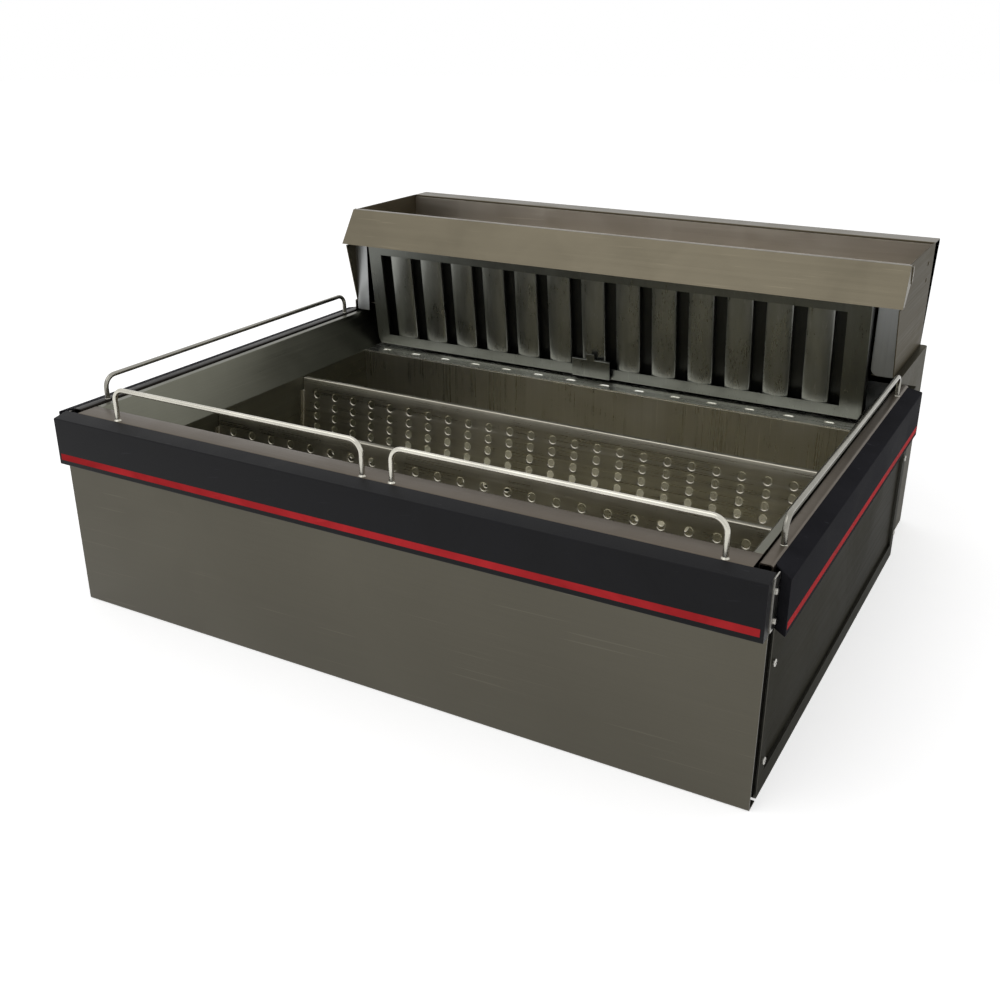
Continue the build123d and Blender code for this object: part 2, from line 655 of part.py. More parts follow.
def blower_wheel(middle):
    """Squirrel-cage wheel: a web on the shaft, two rims and a ring of vanes."""
    half = WHEEL_WIDTH / 2
    centre = (BLOWER_DEPTH, BLOWER_HEIGHT)
    web = rod_between((middle - 1, *centre), (middle + 1, *centre), WHEEL_RADIUS)
    hub = rod_between((middle - 8, *centre), (middle + 8, *centre), 9)
    wheel = web + hub
    for side in (-1, 1):
        edge = middle + side * half
        rim = rod_between((edge, *centre), (edge - side * 3, *centre), WHEEL_RADIUS)
        wheel += rim - rod_between((edge + side, *centre), (edge - side * 9, *centre), WHEEL_RADIUS - 9)
    for index in range(VANE_COUNT):
        vane = Pos(0, WHEEL_RADIUS - 5, 0) * Rot(25, 0, 0) * Box(2 * half - 2, 7.5, 1.0)
        turn = Rot(360 * index / VANE_COUNT, 0, 0)
        wheel += Pos(middle, *centre) * turn * vane
    bore = rod_between((middle - 50, *centre), (middle + 50, *centre), SHAFT_RADIUS)
    return wheel - bore


def blower_shaft():
    reach = BLOWER_PLACE + WHEEL_WIDTH / 2 + 2
    centre = (BLOWER_DEPTH, BLOWER_HEIGHT)
    return rod_between((-reach, *centre), (reach, *centre), SHAFT_RADIUS)


def blower_motor():
    centre = (BLOWER_DEPTH, BLOWER_HEIGHT)
    half = MOTOR_LENGTH / 2
    can = rod_between((-half, *centre), (half, *centre), MOTOR_RADIUS)
    can = fillet(can.edges().filter_by(GeomType.CIRCLE), 4)
    boss = rod_between((-half - 8, *centre), (half + 8, *centre), 10)
    bore = rod_between((-99, *centre), (99, *centre), SHAFT_RADIUS + 0.05)
    return can + boss - bore


def motor_bracket():
    """Foot plate and two cheeks that the motor's end bosses sit in."""
    reach = MOTOR_LENGTH / 2 + 6
    plate = block(-reach, reach, BLOWER_DEPTH - 30, BLOWER_DEPTH + 30, SHEET, 2 * SHEET)
    for side in (-1, 1):
        outer = side * reach
        inner = side * (reach - 2)
        cheek = block(min(outer, inner), max(outer, inner), BLOWER_DEPTH - 20, BLOWER_DEPTH + 20,
                      SHEET, BLOWER_HEIGHT + 16)
        plate += cheek
    return plate - rod_between((-99, BLOWER_DEPTH, BLOWER_HEIGHT), (99, BLOWER_DEPTH, BLOWER_HEIGHT), 10)


def heater_element():
    """Tubular element bent into a long flat U behind the bin."""
    left, right = HEATER_ENDS
    front, rear = HEATER_DEPTHS
    corners = [(left, front, HEATER_HEIGHT), (right, front, HEATER_HEIGHT),
               (right, rear, HEATER_HEIGHT), (left, rear, HEATER_HEIGHT)]
    path = FilletPolyline(*corners, radius=HEATER_BEND)
    section = Plane(origin=corners[0], z_dir=(1, 0, 0)) * Circle(HEATER_RADIUS)
    return sweep(section, path=path)


def heater_bracket(x):
    """Plate that stands on the base pan and carries both legs of the element."""
    plate = block(x - 1, x + 1, BIN_BACK + 4, BODY_DEPTH - 6, PAN_TOP, HEATER_HEIGHT + 20)
    for depth in HEATER_DEPTHS:
        plate -= rod_between((x - 9, depth, HEATER_HEIGHT), (x + 9, depth, HEATER_HEIGHT), HEATER_RADIUS)
    return plate


def high_limit_thermostat():
    """Snap-disc thermostat with a two-hole flange and two blade terminals."""
    x, z, wall = LIMIT_X, LIMIT_HEIGHT, BODY_DEPTH - SHEET
    piece = rod_between((x, wall, z), (x, wall - 7, z), 12)
    piece += block(x - 19, x + 19, wall - 2, wall, z - 8, z + 8)
    for side in (-5, 5):
        piece += block(x + side - 1, x + side + 1, wall - 22, wall - 5, z - 3, z + 3)
    return piece


# ---- controls ----
def switch_housing():
    """Open well for the rocker, with a bezel on the cover."""
    x, z, rear = SWITCH_X, CONTROL_HEIGHT, HOUSING_REAR
    body = block(x - 10.5, x + 10.5, rear - 22, rear, z - 14.5, z + 14.5)
    bezel = block(x - 13, x + 13, rear, rear + 2, z - 17, z + 17)
    well = block(x - 8.5, x + 8.5, rear - 10, rear + 9, z - 12.5, z + 12.5)
    return body + bezel - well


def rocker_switch():
    """Rocker with two faces at a shallow angle and a round belly, resting with its foot pressed in."""
    profile = [(0, -11.8), (2.5, -11.8), (4, 0), (2.5, 11.8), (0, 11.8)]
    cap = across([(out + ROCKER_PIVOT, up) for out, up in profile], -ROCKER_HALF, ROCKER_HALF)
    belly = rod_between((-ROCKER_HALF, 0, 0), (ROCKER_HALF, 0, 0), ROCKER_BELLY)
    belly &= block(-ROCKER_HALF, ROCKER_HALF, -ROCKER_BELLY, ROCKER_PIVOT, -ROCKER_BELLY, ROCKER_BELLY)
    rocker = cap + belly
    return Pos(SWITCH_X, HOUSING_REAR - ROCKER_PIVOT, CONTROL_HEIGHT) * Rot(-ROCKER_TILT, 0, 0) * rocker


def indicator_lamp():
    rear = HOUSING_REAR
    stem = rod_between((LAMP_X, rear - 16, CONTROL_HEIGHT), (LAMP_X, rear, CONTROL_HEIGHT), 4.9)
    lens = rod_between((LAMP_X, rear, CONTROL_HEIGHT), (LAMP_X, rear + 5, CONTROL_HEIGHT), 7)
    lens = fillet(lens.edges().filter_by(GeomType.CIRCLE).sort_by(Axis.Y)[-1], 2.5)
    return stem + lens


def thermostat_body():
    rear = HOUSING_REAR - SHEET
    case = block(KNOB_X - 18, KNOB_X + 18, rear - 26, rear, CONTROL_HEIGHT - 18, CONTROL_HEIGHT + 18)
    spindle = rod_between((KNOB_X, rear, CONTROL_HEIGHT), (KNOB_X, rear + 12, CONTROL_HEIGHT), 3)
    return case + spindle


def thermostat_knob():
    """Skirted knob with a raised grip bar and a blind bore for the spindle."""
    face = HOUSING_REAR + 0.5
    skirt = rod_between((KNOB_X, face, CONTROL_HEIGHT), (KNOB_X, face + 4, CONTROL_HEIGHT), 20)
    grip = rod_between((KNOB_X, face + 4, CONTROL_HEIGHT), (KNOB_X, face + 18, CONTROL_HEIGHT), 14)
    grip = fillet(grip.edges().filter_by(GeomType.CIRCLE).sort_by(Axis.Y)[-1], 2)
    for side in (-1, 1):
        near, far = sorted((KNOB_X + side * 5, KNOB_X + side * 20))
        grip -= block(near, far, face + 8, face + 30, CONTROL_HEIGHT - 20, CONTROL_HEIGHT + 20)
    bore = rod_between((KNOB_X, face - 2, CONTROL_HEIGHT), (KNOB_X, face + 11, CONTROL_HEIGHT), 3.03)
    return skirt + grip - bore


def power_inlet():
    """Cable gland: a flanged bush with a nut inside the cover."""
    rear = HOUSING_REAR
    bush = rod_between((INLET_X, rear - 14, INLET_HEIGHT), (INLET_X, rear + 2, INLET_HEIGHT), 11)
    cap = rod_between((INLET_X, rear, INLET_HEIGHT), (INLET_X, rear + 12, INLET_HEIGHT), 15)
    cap = fillet(cap.edges().filter_by(GeomType.CIRCLE).sort_by(Axis.Y)[-1], 3)
    bore = rod_between((INLET_X, rear - 20, INLET_HEIGHT), (INLET_X, rear + 20, INLET_HEIGHT), 5)
    return bush + cap - bore


def terminal_block():
    body = block(250, 300, 530, 552, SHEET, 22)
    for index in range(3):
        middle = 260 + index * 15
        body -= block(middle - 5, middle + 5, 526, 541, 12, 30)
    return body


# ---- fasteners ----
def cover_screws():
    places = product((-330, -110, 110, 330), (12, 205))
    return [pan_screw(x, HOUSING_REAR, z, TURN_REAR) for x, z in places]


def panel_screws():
    """Screws in the stiles of both side panels."""
    screws = []
    for depth, height in product((SIDE_FRONT + 9, BODY_DEPTH - 7), (31, 120)):
        screw = pan_screw(HALF, depth, height, TURN_RIGHT)
        screws += [screw, mirrored(screw)]
    return screws


def bracket_screws():
    screws = []
    for depth, height in ((9, 165), (5, 191)):
        screw = pan_screw(HALF + SHEET, depth, height, TURN_RIGHT, 2.6, 1.8)
        screws += [screw, mirrored(screw)]
    return screws


def write_parts():
    os.makedirs("parts", exist_ok=True)
    publish("base_pan", base_pan())
    publish("front_panel", front_panel())
    publish("body_back_panel", body_back_panel())
    handed = {"side_panel": side_panel, "bumper_band": side_band, "side_ledge": side_ledge,
              "bin_wall": bin_side_wall}
    for name, make in handed.items():
        right = make()
        publish(f"right_{name}", right)
        publish(f"left_{name}", mirrored(right))
    paired = {"side_insets": side_inset, "corner_posts": corner_post, "corner_brackets": corner_bracket,
              "housing_sides": housing_side}
    for name, make in paired.items():
        right = make()
        publish(name, right, mirrored(right))
    publish("front_bumper_band", front_band())
    stripe = side_stripe()
    publish("band_stripes", stripe_block(-HALF + 4, HALF - 3), stripe, mirrored(stripe))
    publish("front_ledge", front_ledge())

    feet = []
    for name, (x0, x1) in zip(("front_left_rail", "front_right_rail"), FRONT_RAIL_ENDS):
        start, end = (x0, FRONT_RAIL_DEPTH), (x1, FRONT_RAIL_DEPTH)
        publish(name, bent_rail(start, end, LEDGE_TOP, FRONT_RAIL_TOP))
        feet += [rail_foot(*start), rail_foot(*end)]
    for name, x in (("left_rail", LEFT_RAIL_INSET - HALF), ("right_rail", HALF - RIGHT_RAIL_INSET)):
        start, end = (x, SIDE_RAIL_ENDS[0]), (x, SIDE_RAIL_ENDS[1])
        publish(name, bent_rail(start, end, LEDGE_TOP, SIDE_RAIL_TOP))
        feet += [rail_foot(*start), rail_foot(*end)]
    publish("rail_feet", *feet)

    publish("bin_front_wall", bin_front_wall())
    publish("bin_back_wall", bin_back_wall())
    publish("filter_shelf", filter_shelf())
    publish("bin_floor", bin_floor())
    for name, depth in zip(("front_divider", "rear_divider"), DIVIDER_DEPTHS):
        publish(name, divider(depth))

    publish("filter_frame", filter_frame())
    publish("filter_front_baffles", *front_baffles())
    publish("filter_rear_baffles", *rear_baffles())
    publish("filter_handle", filter_handle())

    publish("hood_visor", hood_visor())
    plate = hood_end()
    publish("left_hood_end", mirrored(plate))
    publish("right_hood_end", slotted(plate))
    publish("filler_strips", *filler_strips())
    publish("hood_back", hood_back())
    publish("hood_tray", hood_tray())

    publish("housing_top", housing_top())
    publish("housing_base", housing_base())
    publish("rear_cover", rear_cover())

    publish("blower_housings", blower_housing(-BLOWER_PLACE), blower_housing(BLOWER_PLACE))
    publish("left_blower_wheel", blower_wheel(-BLOWER_PLACE))
    publish("right_blower_wheel", blower_wheel(BLOWER_PLACE))
    publish("blower_shaft", blower_shaft())
    publish("blower_motor", blower_motor())
    publish("motor_bracket", motor_bracket())
    publish("heater_element", heater_element())
    publish("heater_brackets", *[heater_bracket(x) for x in HEATER_BRACKETS])
    publish("high_limit_thermostat", high_limit_thermostat())

    publish("switch_housing", switch_housing())
    publish("rocker_switch", rocker_switch())
    publish("indicator_lamp", indicator_lamp())
    publish("thermostat_body", thermostat_body())
    publish("thermostat_knob", thermostat_knob())
    publish("power_inlet", power_inlet())
    publish("terminal_block", terminal_block())

    publish("cover_screws", *cover_screws())
    publish("side_screws", *panel_screws(), *bracket_screws())


write_parts()
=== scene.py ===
import json
import math

import bmesh
import bpy
from bpy.props import FloatProperty, FloatVectorProperty, IntProperty, PointerProperty
from mathutils import Euler, Matrix, Vector

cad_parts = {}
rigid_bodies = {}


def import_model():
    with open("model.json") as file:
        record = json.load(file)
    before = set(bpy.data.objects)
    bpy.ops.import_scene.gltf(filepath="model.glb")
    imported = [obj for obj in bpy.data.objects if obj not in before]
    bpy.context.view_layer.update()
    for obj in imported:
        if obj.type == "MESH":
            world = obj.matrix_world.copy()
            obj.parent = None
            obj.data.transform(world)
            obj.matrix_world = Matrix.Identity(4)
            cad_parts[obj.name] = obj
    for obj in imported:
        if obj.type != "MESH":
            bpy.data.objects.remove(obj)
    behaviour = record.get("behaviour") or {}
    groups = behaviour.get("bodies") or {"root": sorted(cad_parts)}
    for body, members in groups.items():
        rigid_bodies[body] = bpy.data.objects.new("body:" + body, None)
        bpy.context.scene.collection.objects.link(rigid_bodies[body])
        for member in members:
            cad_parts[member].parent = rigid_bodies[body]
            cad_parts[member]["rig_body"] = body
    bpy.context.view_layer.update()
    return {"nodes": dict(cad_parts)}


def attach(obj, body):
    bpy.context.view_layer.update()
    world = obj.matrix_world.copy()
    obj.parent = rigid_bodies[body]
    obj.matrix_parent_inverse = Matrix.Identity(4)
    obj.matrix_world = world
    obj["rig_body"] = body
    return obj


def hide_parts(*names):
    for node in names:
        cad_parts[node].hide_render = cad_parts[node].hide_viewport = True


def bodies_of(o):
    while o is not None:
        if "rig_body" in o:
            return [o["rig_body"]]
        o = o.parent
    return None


bl_info = {
    "name": "Chip Warmer",
    "version": (1, 0, 0),
    "blender": (4, 5, 0),
    "location": "3D View > Sidebar > Chip Warmer",
    "description": "Finished sheet metal, rails, bands, filter and studio for a counter-top chip warmer",
    "category": "Object",
}

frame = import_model()

# Places are given as in the workshop, in millimetres: across from the middle, back from the face of
# the front panel, and up from the counter.
MM = 0.001
DEPTH_CENTRE = 314.5
SHEET = 1.2
HALF_WIDTH = 355.5
LEDGE_TOP = 205.5
PANEL_TOP = 200.0
BAND_LAP = 5.4
SHARP = math.radians(32)

# bin and its perforated pieces
BIN_HALF = 308.0
FLOOR_HEIGHT = 55.0
PITCH = 26.1
ROW_PITCH = 13.0
COLUMNS = 23
DIVIDER_ROWS = 6
HOLE = 4.0
DIVIDER_TOP = 163.0
DIVIDER_LEAN = math.radians(6.7)
DIVIDER_DEPTHS = (165.0, 313.0)
DIVIDER_SHEET = 1.5
DIVIDER_FOLD = 7.0
DIVIDER_HALF = BIN_HALF - 0.9
DIVIDER_FIRST_ROW = 18.0

# rails: the two ends of each, its top, and which way it runs
ROD_RADIUS = 2.4
ROD_BEND = 12.0
ROD_BEND_STEPS = 8
FRONT_RAIL_DEPTH = 9.2
FRONT_RAIL_TOP = 237.0
SIDE_RAIL_TOP = 229.0
SIDE_RAIL_X = {"left_rail": -344.9, "right_rail": 347.5}
FRONT_RAIL_ENDS = {"front_left_rail": (-288.5, -3.5), "front_right_rail": (26.5, 316.5)}
SIDE_RAIL_ENDS = (50.0, 450.0)

# filter
FILTER_FOOT = (468.0, 168.0)
FILTER_LEAN = math.radians(7.0)
SLAT_PITCH = 43.4
SLAT_BOTTOM = 7.0
SLAT_TOP = 124.0


def place(across, depth, height):
    """A workshop place in the frame's metres."""
    return Vector((across, depth - DEPTH_CENTRE, height)) * MM


# ---------------------------------------------------------------- settings


class WarmerSizes(bpy.types.PropertyGroup):
    """Sizes of the finish that a user may change."""

    fold_radius: FloatProperty(
        name="Fold Radius", description="Outside radius of a sheet metal fold", default=0.0018, unit="LENGTH"
    )
    cut_round: FloatProperty(
        name="Cut Edge Round", description="Round on a deburred cut edge", default=0.0003, unit="LENGTH"
    )
    slat_crown: FloatProperty(
        name="Slat Crown", description="How far a filter slat's face bulges", default=0.0018, unit="LENGTH"
    )
    hole_dish: FloatProperty(
        name="Hole Dish", description="How deep the punch pulls in the rim of a hole", default=0.0006, unit="LENGTH"
    )
    rod_sides: IntProperty(name="Rod Sides", description="Sides round a rail's rod", default=24, min=8)
    hole_sides: IntProperty(name="Hole Sides", description="Sides round a punched hole", default=16, min=8)


def colour_property(name, description, default):
    """A colour setting."""
    return FloatVectorProperty(name=name, description=description, default=default, subtype="COLOR", min=0, max=1)


class WarmerColours(bpy.types.PropertyGroup):
    """Colours of the finishes, as linear values."""

    panel: colour_property("Panel Steel", "Brushed front panel", (0.090, 0.084, 0.066))
    side: colour_property("Side Steel", "Brushed side panels", (0.074, 0.072, 0.062))
    hood: colour_property("Hood Steel", "Brushed hood sheets", (0.125, 0.110, 0.079))
    tray: colour_property("Tray Steel", "Inside of the open tray", (0.450, 0.415, 0.365))
    bin: colour_property("Bin Steel", "End sheets inside the bin", (0.440, 0.420, 0.360))
    slope: colour_property("Slope Steel", "Sloping side walls of the bin", (0.150, 0.150, 0.120))
    shelf: colour_property("Shelf Steel", "Shelf under the filter", (0.900, 0.890, 0.800))
    perforated: colour_property("Perforated Steel", "Dividers and floor", (0.380, 0.360, 0.300))
    filter: colour_property("Filter Steel", "Filter frame and pull plate", (0.140, 0.145, 0.130))
    slat: colour_property("Slat Steel", "Filter slats", (0.230, 0.235, 0.215))
    filler: colour_property("Filler Steel", "Strips beside the filter", (0.330, 0.338, 0.335))
    ledge: colour_property("Ledge Steel", "Ledges round the bin", (0.112, 0.094, 0.074))
    rail: colour_property("Rail Steel", "Polished rod rails", (0.600, 0.580, 0.510))
    band: colour_property("Band Black", "Bumper bands", (0.0070, 0.0070, 0.0082))
    stripe: colour_property("Stripe Red", "Stripe in the bands", (0.420, 0.026, 0.030))
    inner: colour_property("Inner Steel", "Coated sheets out of sight", (0.200, 0.205, 0.205))


class WarmerStage(bpy.types.PropertyGroup):
    """The studio round the warmer."""

    lens: FloatProperty(name="Lens", description="Focal length in millimetres", default=41.2126, subtype="NONE")
    key_power: FloatProperty(name="Key Lamp", description="Power of the large soft lamp", default=20.0, unit="POWER")
    fill_power: FloatProperty(name="Fill Lamp", description="Power of the side lamp", default=2.0, unit="POWER")
    sky: FloatProperty(name="Room Light", description="Light from the room", default=0.62, min=0)


# ---------------------------------------------------------------- finishes


class Graph:
    """Wires the nodes of one material."""

    def __init__(self, name):
        self.material = bpy.data.materials.new(name)
        self.material.use_nodes = True
        self.tree = self.material.node_tree
        self.tree.nodes.clear()
        self.shader = self.tree.nodes.new("ShaderNodeBsdfPrincipled")
        output = self.tree.nodes.new("ShaderNodeOutputMaterial")
        self.tree.links.new(self.shader.outputs[0], output.inputs["Surface"])
        self.object_place = self.tree.nodes.new("ShaderNodeTexCoord").outputs["Object"]

    def feed(self, node, socket, source):
        """Links a source to a socket, or sets the socket to a plain value."""
        if isinstance(source, bpy.types.NodeSocket):
            self.tree.links.new(source, node.inputs[socket])
        else:
            node.inputs[socket].default_value = source

    def set(self, **sources):
        """Feeds the shader's own sockets, with spaces for underscores in their names."""
        for name, source in sources.items():
            self.feed(self.shader, name.replace("_", " "), source)

    def mapped(self, scale, turn=(0, 0, 0)):
        """Object coordinates turned and then stretched, in pattern repeats per metre."""
        turned = self.tree.nodes.new("ShaderNodeMapping")
        turned.inputs["Rotation"].default_value = turn
        self.feed(turned, "Vector", self.object_place)
        scaled = self.tree.nodes.new("ShaderNodeMapping")
        scaled.inputs["Scale"].default_value = scale
        self.feed(scaled, "Vector", turned.outputs[0])
        return scaled.outputs[0]

    def noise(self, scale, detail=3.0, rough=0.5, turn=(0, 0, 0), warp=0.0):
        """A noise pattern of a given number of repeats per metre along each axis."""
        node = self.tree.nodes.new("ShaderNodeTexNoise")
        self.feed(node, "Vector", self.mapped(scale, turn))
        for socket, value in (("Scale", 1.0), ("Detail", detail), ("Roughness", rough), ("Distortion", warp)):
            node.inputs[socket].default_value = value
        return node.outputs["Fac"]

    def cells(self, scale, feature="F1"):
        """A pattern of irregular cells."""
        node = self.tree.nodes.new("ShaderNodeTexVoronoi")
        node.feature = feature
        self.feed(node, "Vector", self.mapped(scale))
        node.inputs["Scale"].default_value = 1.0
        return node

    def spread(self, source, low, high, to_low=0.0, to_high=1.0):
        """Rescales a value from one range to another, kept within the second."""
        node = self.tree.nodes.new("ShaderNodeMapRange")
        for socket, value in enumerate((source, low, high, to_low, to_high)):
            self.feed(node, socket, value)
        return node.outputs[0]

    def mix(self, factor, first, second):
        """Blends two colours."""
        node = self.tree.nodes.new("ShaderNodeMix")
        node.data_type = "RGBA"
        self.feed(node, 0, factor)
        self.feed(node, 6, first)
        self.feed(node, 7, second)
        return node.outputs[2]

    def sum(self, first, second, operation="ADD"):
        """Joins two values, by adding unless told otherwise."""
        node = self.tree.nodes.new("ShaderNodeMath")
        node.operation = operation
        self.feed(node, 0, first)
        self.feed(node, 1, second)
        return node.outputs[0]

    def bump(self, height, distance, strength=1.0, under=None):
        """Relief of a given depth in metres, over any relief under it."""
        node = self.tree.nodes.new("ShaderNodeBump")
        node.inputs["Strength"].default_value = strength
        node.inputs["Distance"].default_value = distance
        self.feed(node, "Height", height)
        if under:
            self.feed(node, "Normal", under)
        return node.outputs[0]


def shade(colour, amount):
    """A colour made lighter or darker, with its alpha."""
    return (*(min(1.0, c * amount) for c in colour), 1.0)


ALONG_X = (5, 1100, 1100)
ALONG_Y = (1100, 5, 1100)
ALONG_Z = (1100, 1100, 5)


def brushed(name, colour, grain, rough=(0.24, 0.40), tone=0.14, streaks=(4, 4, 1.2), lean=0.0, spots=0.0,
            edge=1.0):
    """Brushed sheet: fine grain along one axis, soft uneven streaks, hairline scratches and smears.

    Edge is how much of the glare at a glancing angle is kept, and spots is how strongly dust shows.
    """
    g = Graph(name)
    fine = g.noise(grain, 4, 0.65)
    coarse = g.noise([s * 0.28 for s in grain], 3, 0.6)
    grain_value = g.sum(g.sum(fine, 0.6, "MULTIPLY"), g.sum(coarse, 0.4, "MULTIPLY"))
    cloud = g.noise(streaks, 2, 0.45, (0, lean, 0))
    smear = g.noise((13, 11, 12), 6, 0.62, warp=0.8)
    base = g.mix(g.spread(cloud, 0.34, 0.66), shade(colour, 1 - tone), shade(colour, 1 + tone))
    light = g.mix(g.spread(grain_value, 0.36, 0.64), shade(colour, 1 - 0.8 * tone), shade(colour, 1 + 0.9 * tone))
    base = g.mix(0.45, base, light)
    hair = g.noise([s * 0.5 if s > 50 else s * 0.45 for s in grain], 1, 0.4, (0.02, 0.03, 0.015))
    base = g.mix(g.spread(hair, 0.70, 0.76, 0, 0.35), base, shade(colour, 1.55))
    if spots:
        dust = g.noise((210, 210, 210), 2, 0.5)
        base = g.mix(g.spread(dust, 0.70, 0.78, 0, spots), base, shade(colour, 0.45))
    rough_value = g.spread(grain_value, 0.30, 0.70, rough[0], rough[1])
    rough_value = g.sum(rough_value, g.spread(smear, 0.45, 0.75, 0, 0.10))
    relief = g.bump(grain_value, 0.00006, 0.5)
    relief = g.bump(g.noise((9, 9, 9), 1), 0.0006, 0.12, relief)
    g.set(Base_Color=base, Roughness=rough_value, Normal=relief, Metallic=1.0)
    g.set(Specular_Tint=(edge, edge, edge, 1.0))
    return g.material


def polished_rod(name, colour):
    """Drawn rod: bright, with fine rings of polish and a dull tint in random patches."""
    g = Graph(name)
    lines = g.noise((420, 420, 420), 3, 0.6)
    dull = g.noise((22, 22, 22), 3, 0.55)
    base = g.mix(g.spread(dull, 0.35, 0.7), shade(colour, 1.06), shade(colour, 0.80))
    g.set(
        Base_Color=base,
        Roughness=g.spread(lines, 0.3, 0.7, 0.16, 0.30),
        Normal=g.bump(lines, 0.00003, 0.4),
        Metallic=1.0,
    )
    return g.material


def moulded(name, colour, rough=(0.36, 0.52), scuff=0.5, gloss=0.12, grain=900):
    """Moulded or extruded plastic: fine leather grain, rubbed patches and light scuffs."""
    g = Graph(name)
    skin = g.noise((grain, grain, grain), 2, 0.5)
    rub = g.noise((16, 12, 20), 5, 0.6, warp=0.6)
    scratch = g.noise((14, 260, 320), 2, 0.5, (0.05, 0.2, 0.1))
    base = g.mix(g.spread(rub, 0.35, 0.7), shade(colour, 0.85), shade(colour, 1.35))
    base = g.mix(g.spread(scratch, 0.70, 0.76, 0, scuff), base, shade(colour, 3.2))
    g.set(
        Base_Color=base,
        Roughness=g.sum(g.spread(rub, 0.3, 0.7, rough[0], rough[1]), g.spread(skin, 0.3, 0.7, 0, 0.06)),
        Normal=g.bump(skin, 0.00005, 0.35),
        Specular_IOR_Level=gloss,
    )
    return g.material


def galvanised(name, colour, rough=(0.34, 0.5), metallic=1.0):
    """Zinc-coated sheet: broad crystals of slightly different tone."""
    g = Graph(name)
    crystals = g.cells((95, 95, 95))
    tint = g.spread(crystals.outputs["Color"], 0.0, 1.0, 0.0, 1.0)
    haze = g.noise((24, 24, 24), 4, 0.6)
    base = g.mix(tint, shade(colour, 0.80), shade(colour, 1.18))
    base = g.mix(g.spread(haze, 0.5, 0.8, 0, 0.4), base, shade(colour, 0.7))
    g.set(
        Base_Color=base,
        Roughness=g.sum(g.spread(haze, 0.3, 0.7, rough[0], rough[1]), g.spread(tint, 0, 1, 0, 0.08)),
        Normal=g.bump(tint, 0.00005, 0.3),
        Metallic=metallic,
    )
    return g.material


def lamp_lens(name, colour):
    """Translucent amber lens with a faint ribbed inside."""
    g = Graph(name)
    ribs = g.noise((700, 40, 40), 1, 0.4)
    base = g.mix(g.spread(ribs, 0.35, 0.65), shade(colour, 0.75), shade(colour, 1.15))
    g.set(Base_Color=base, Roughness=g.spread(ribs, 0.3, 0.7, 0.08, 0.2), Normal=g.bump(ribs, 0.0001, 0.3))
    return g.material


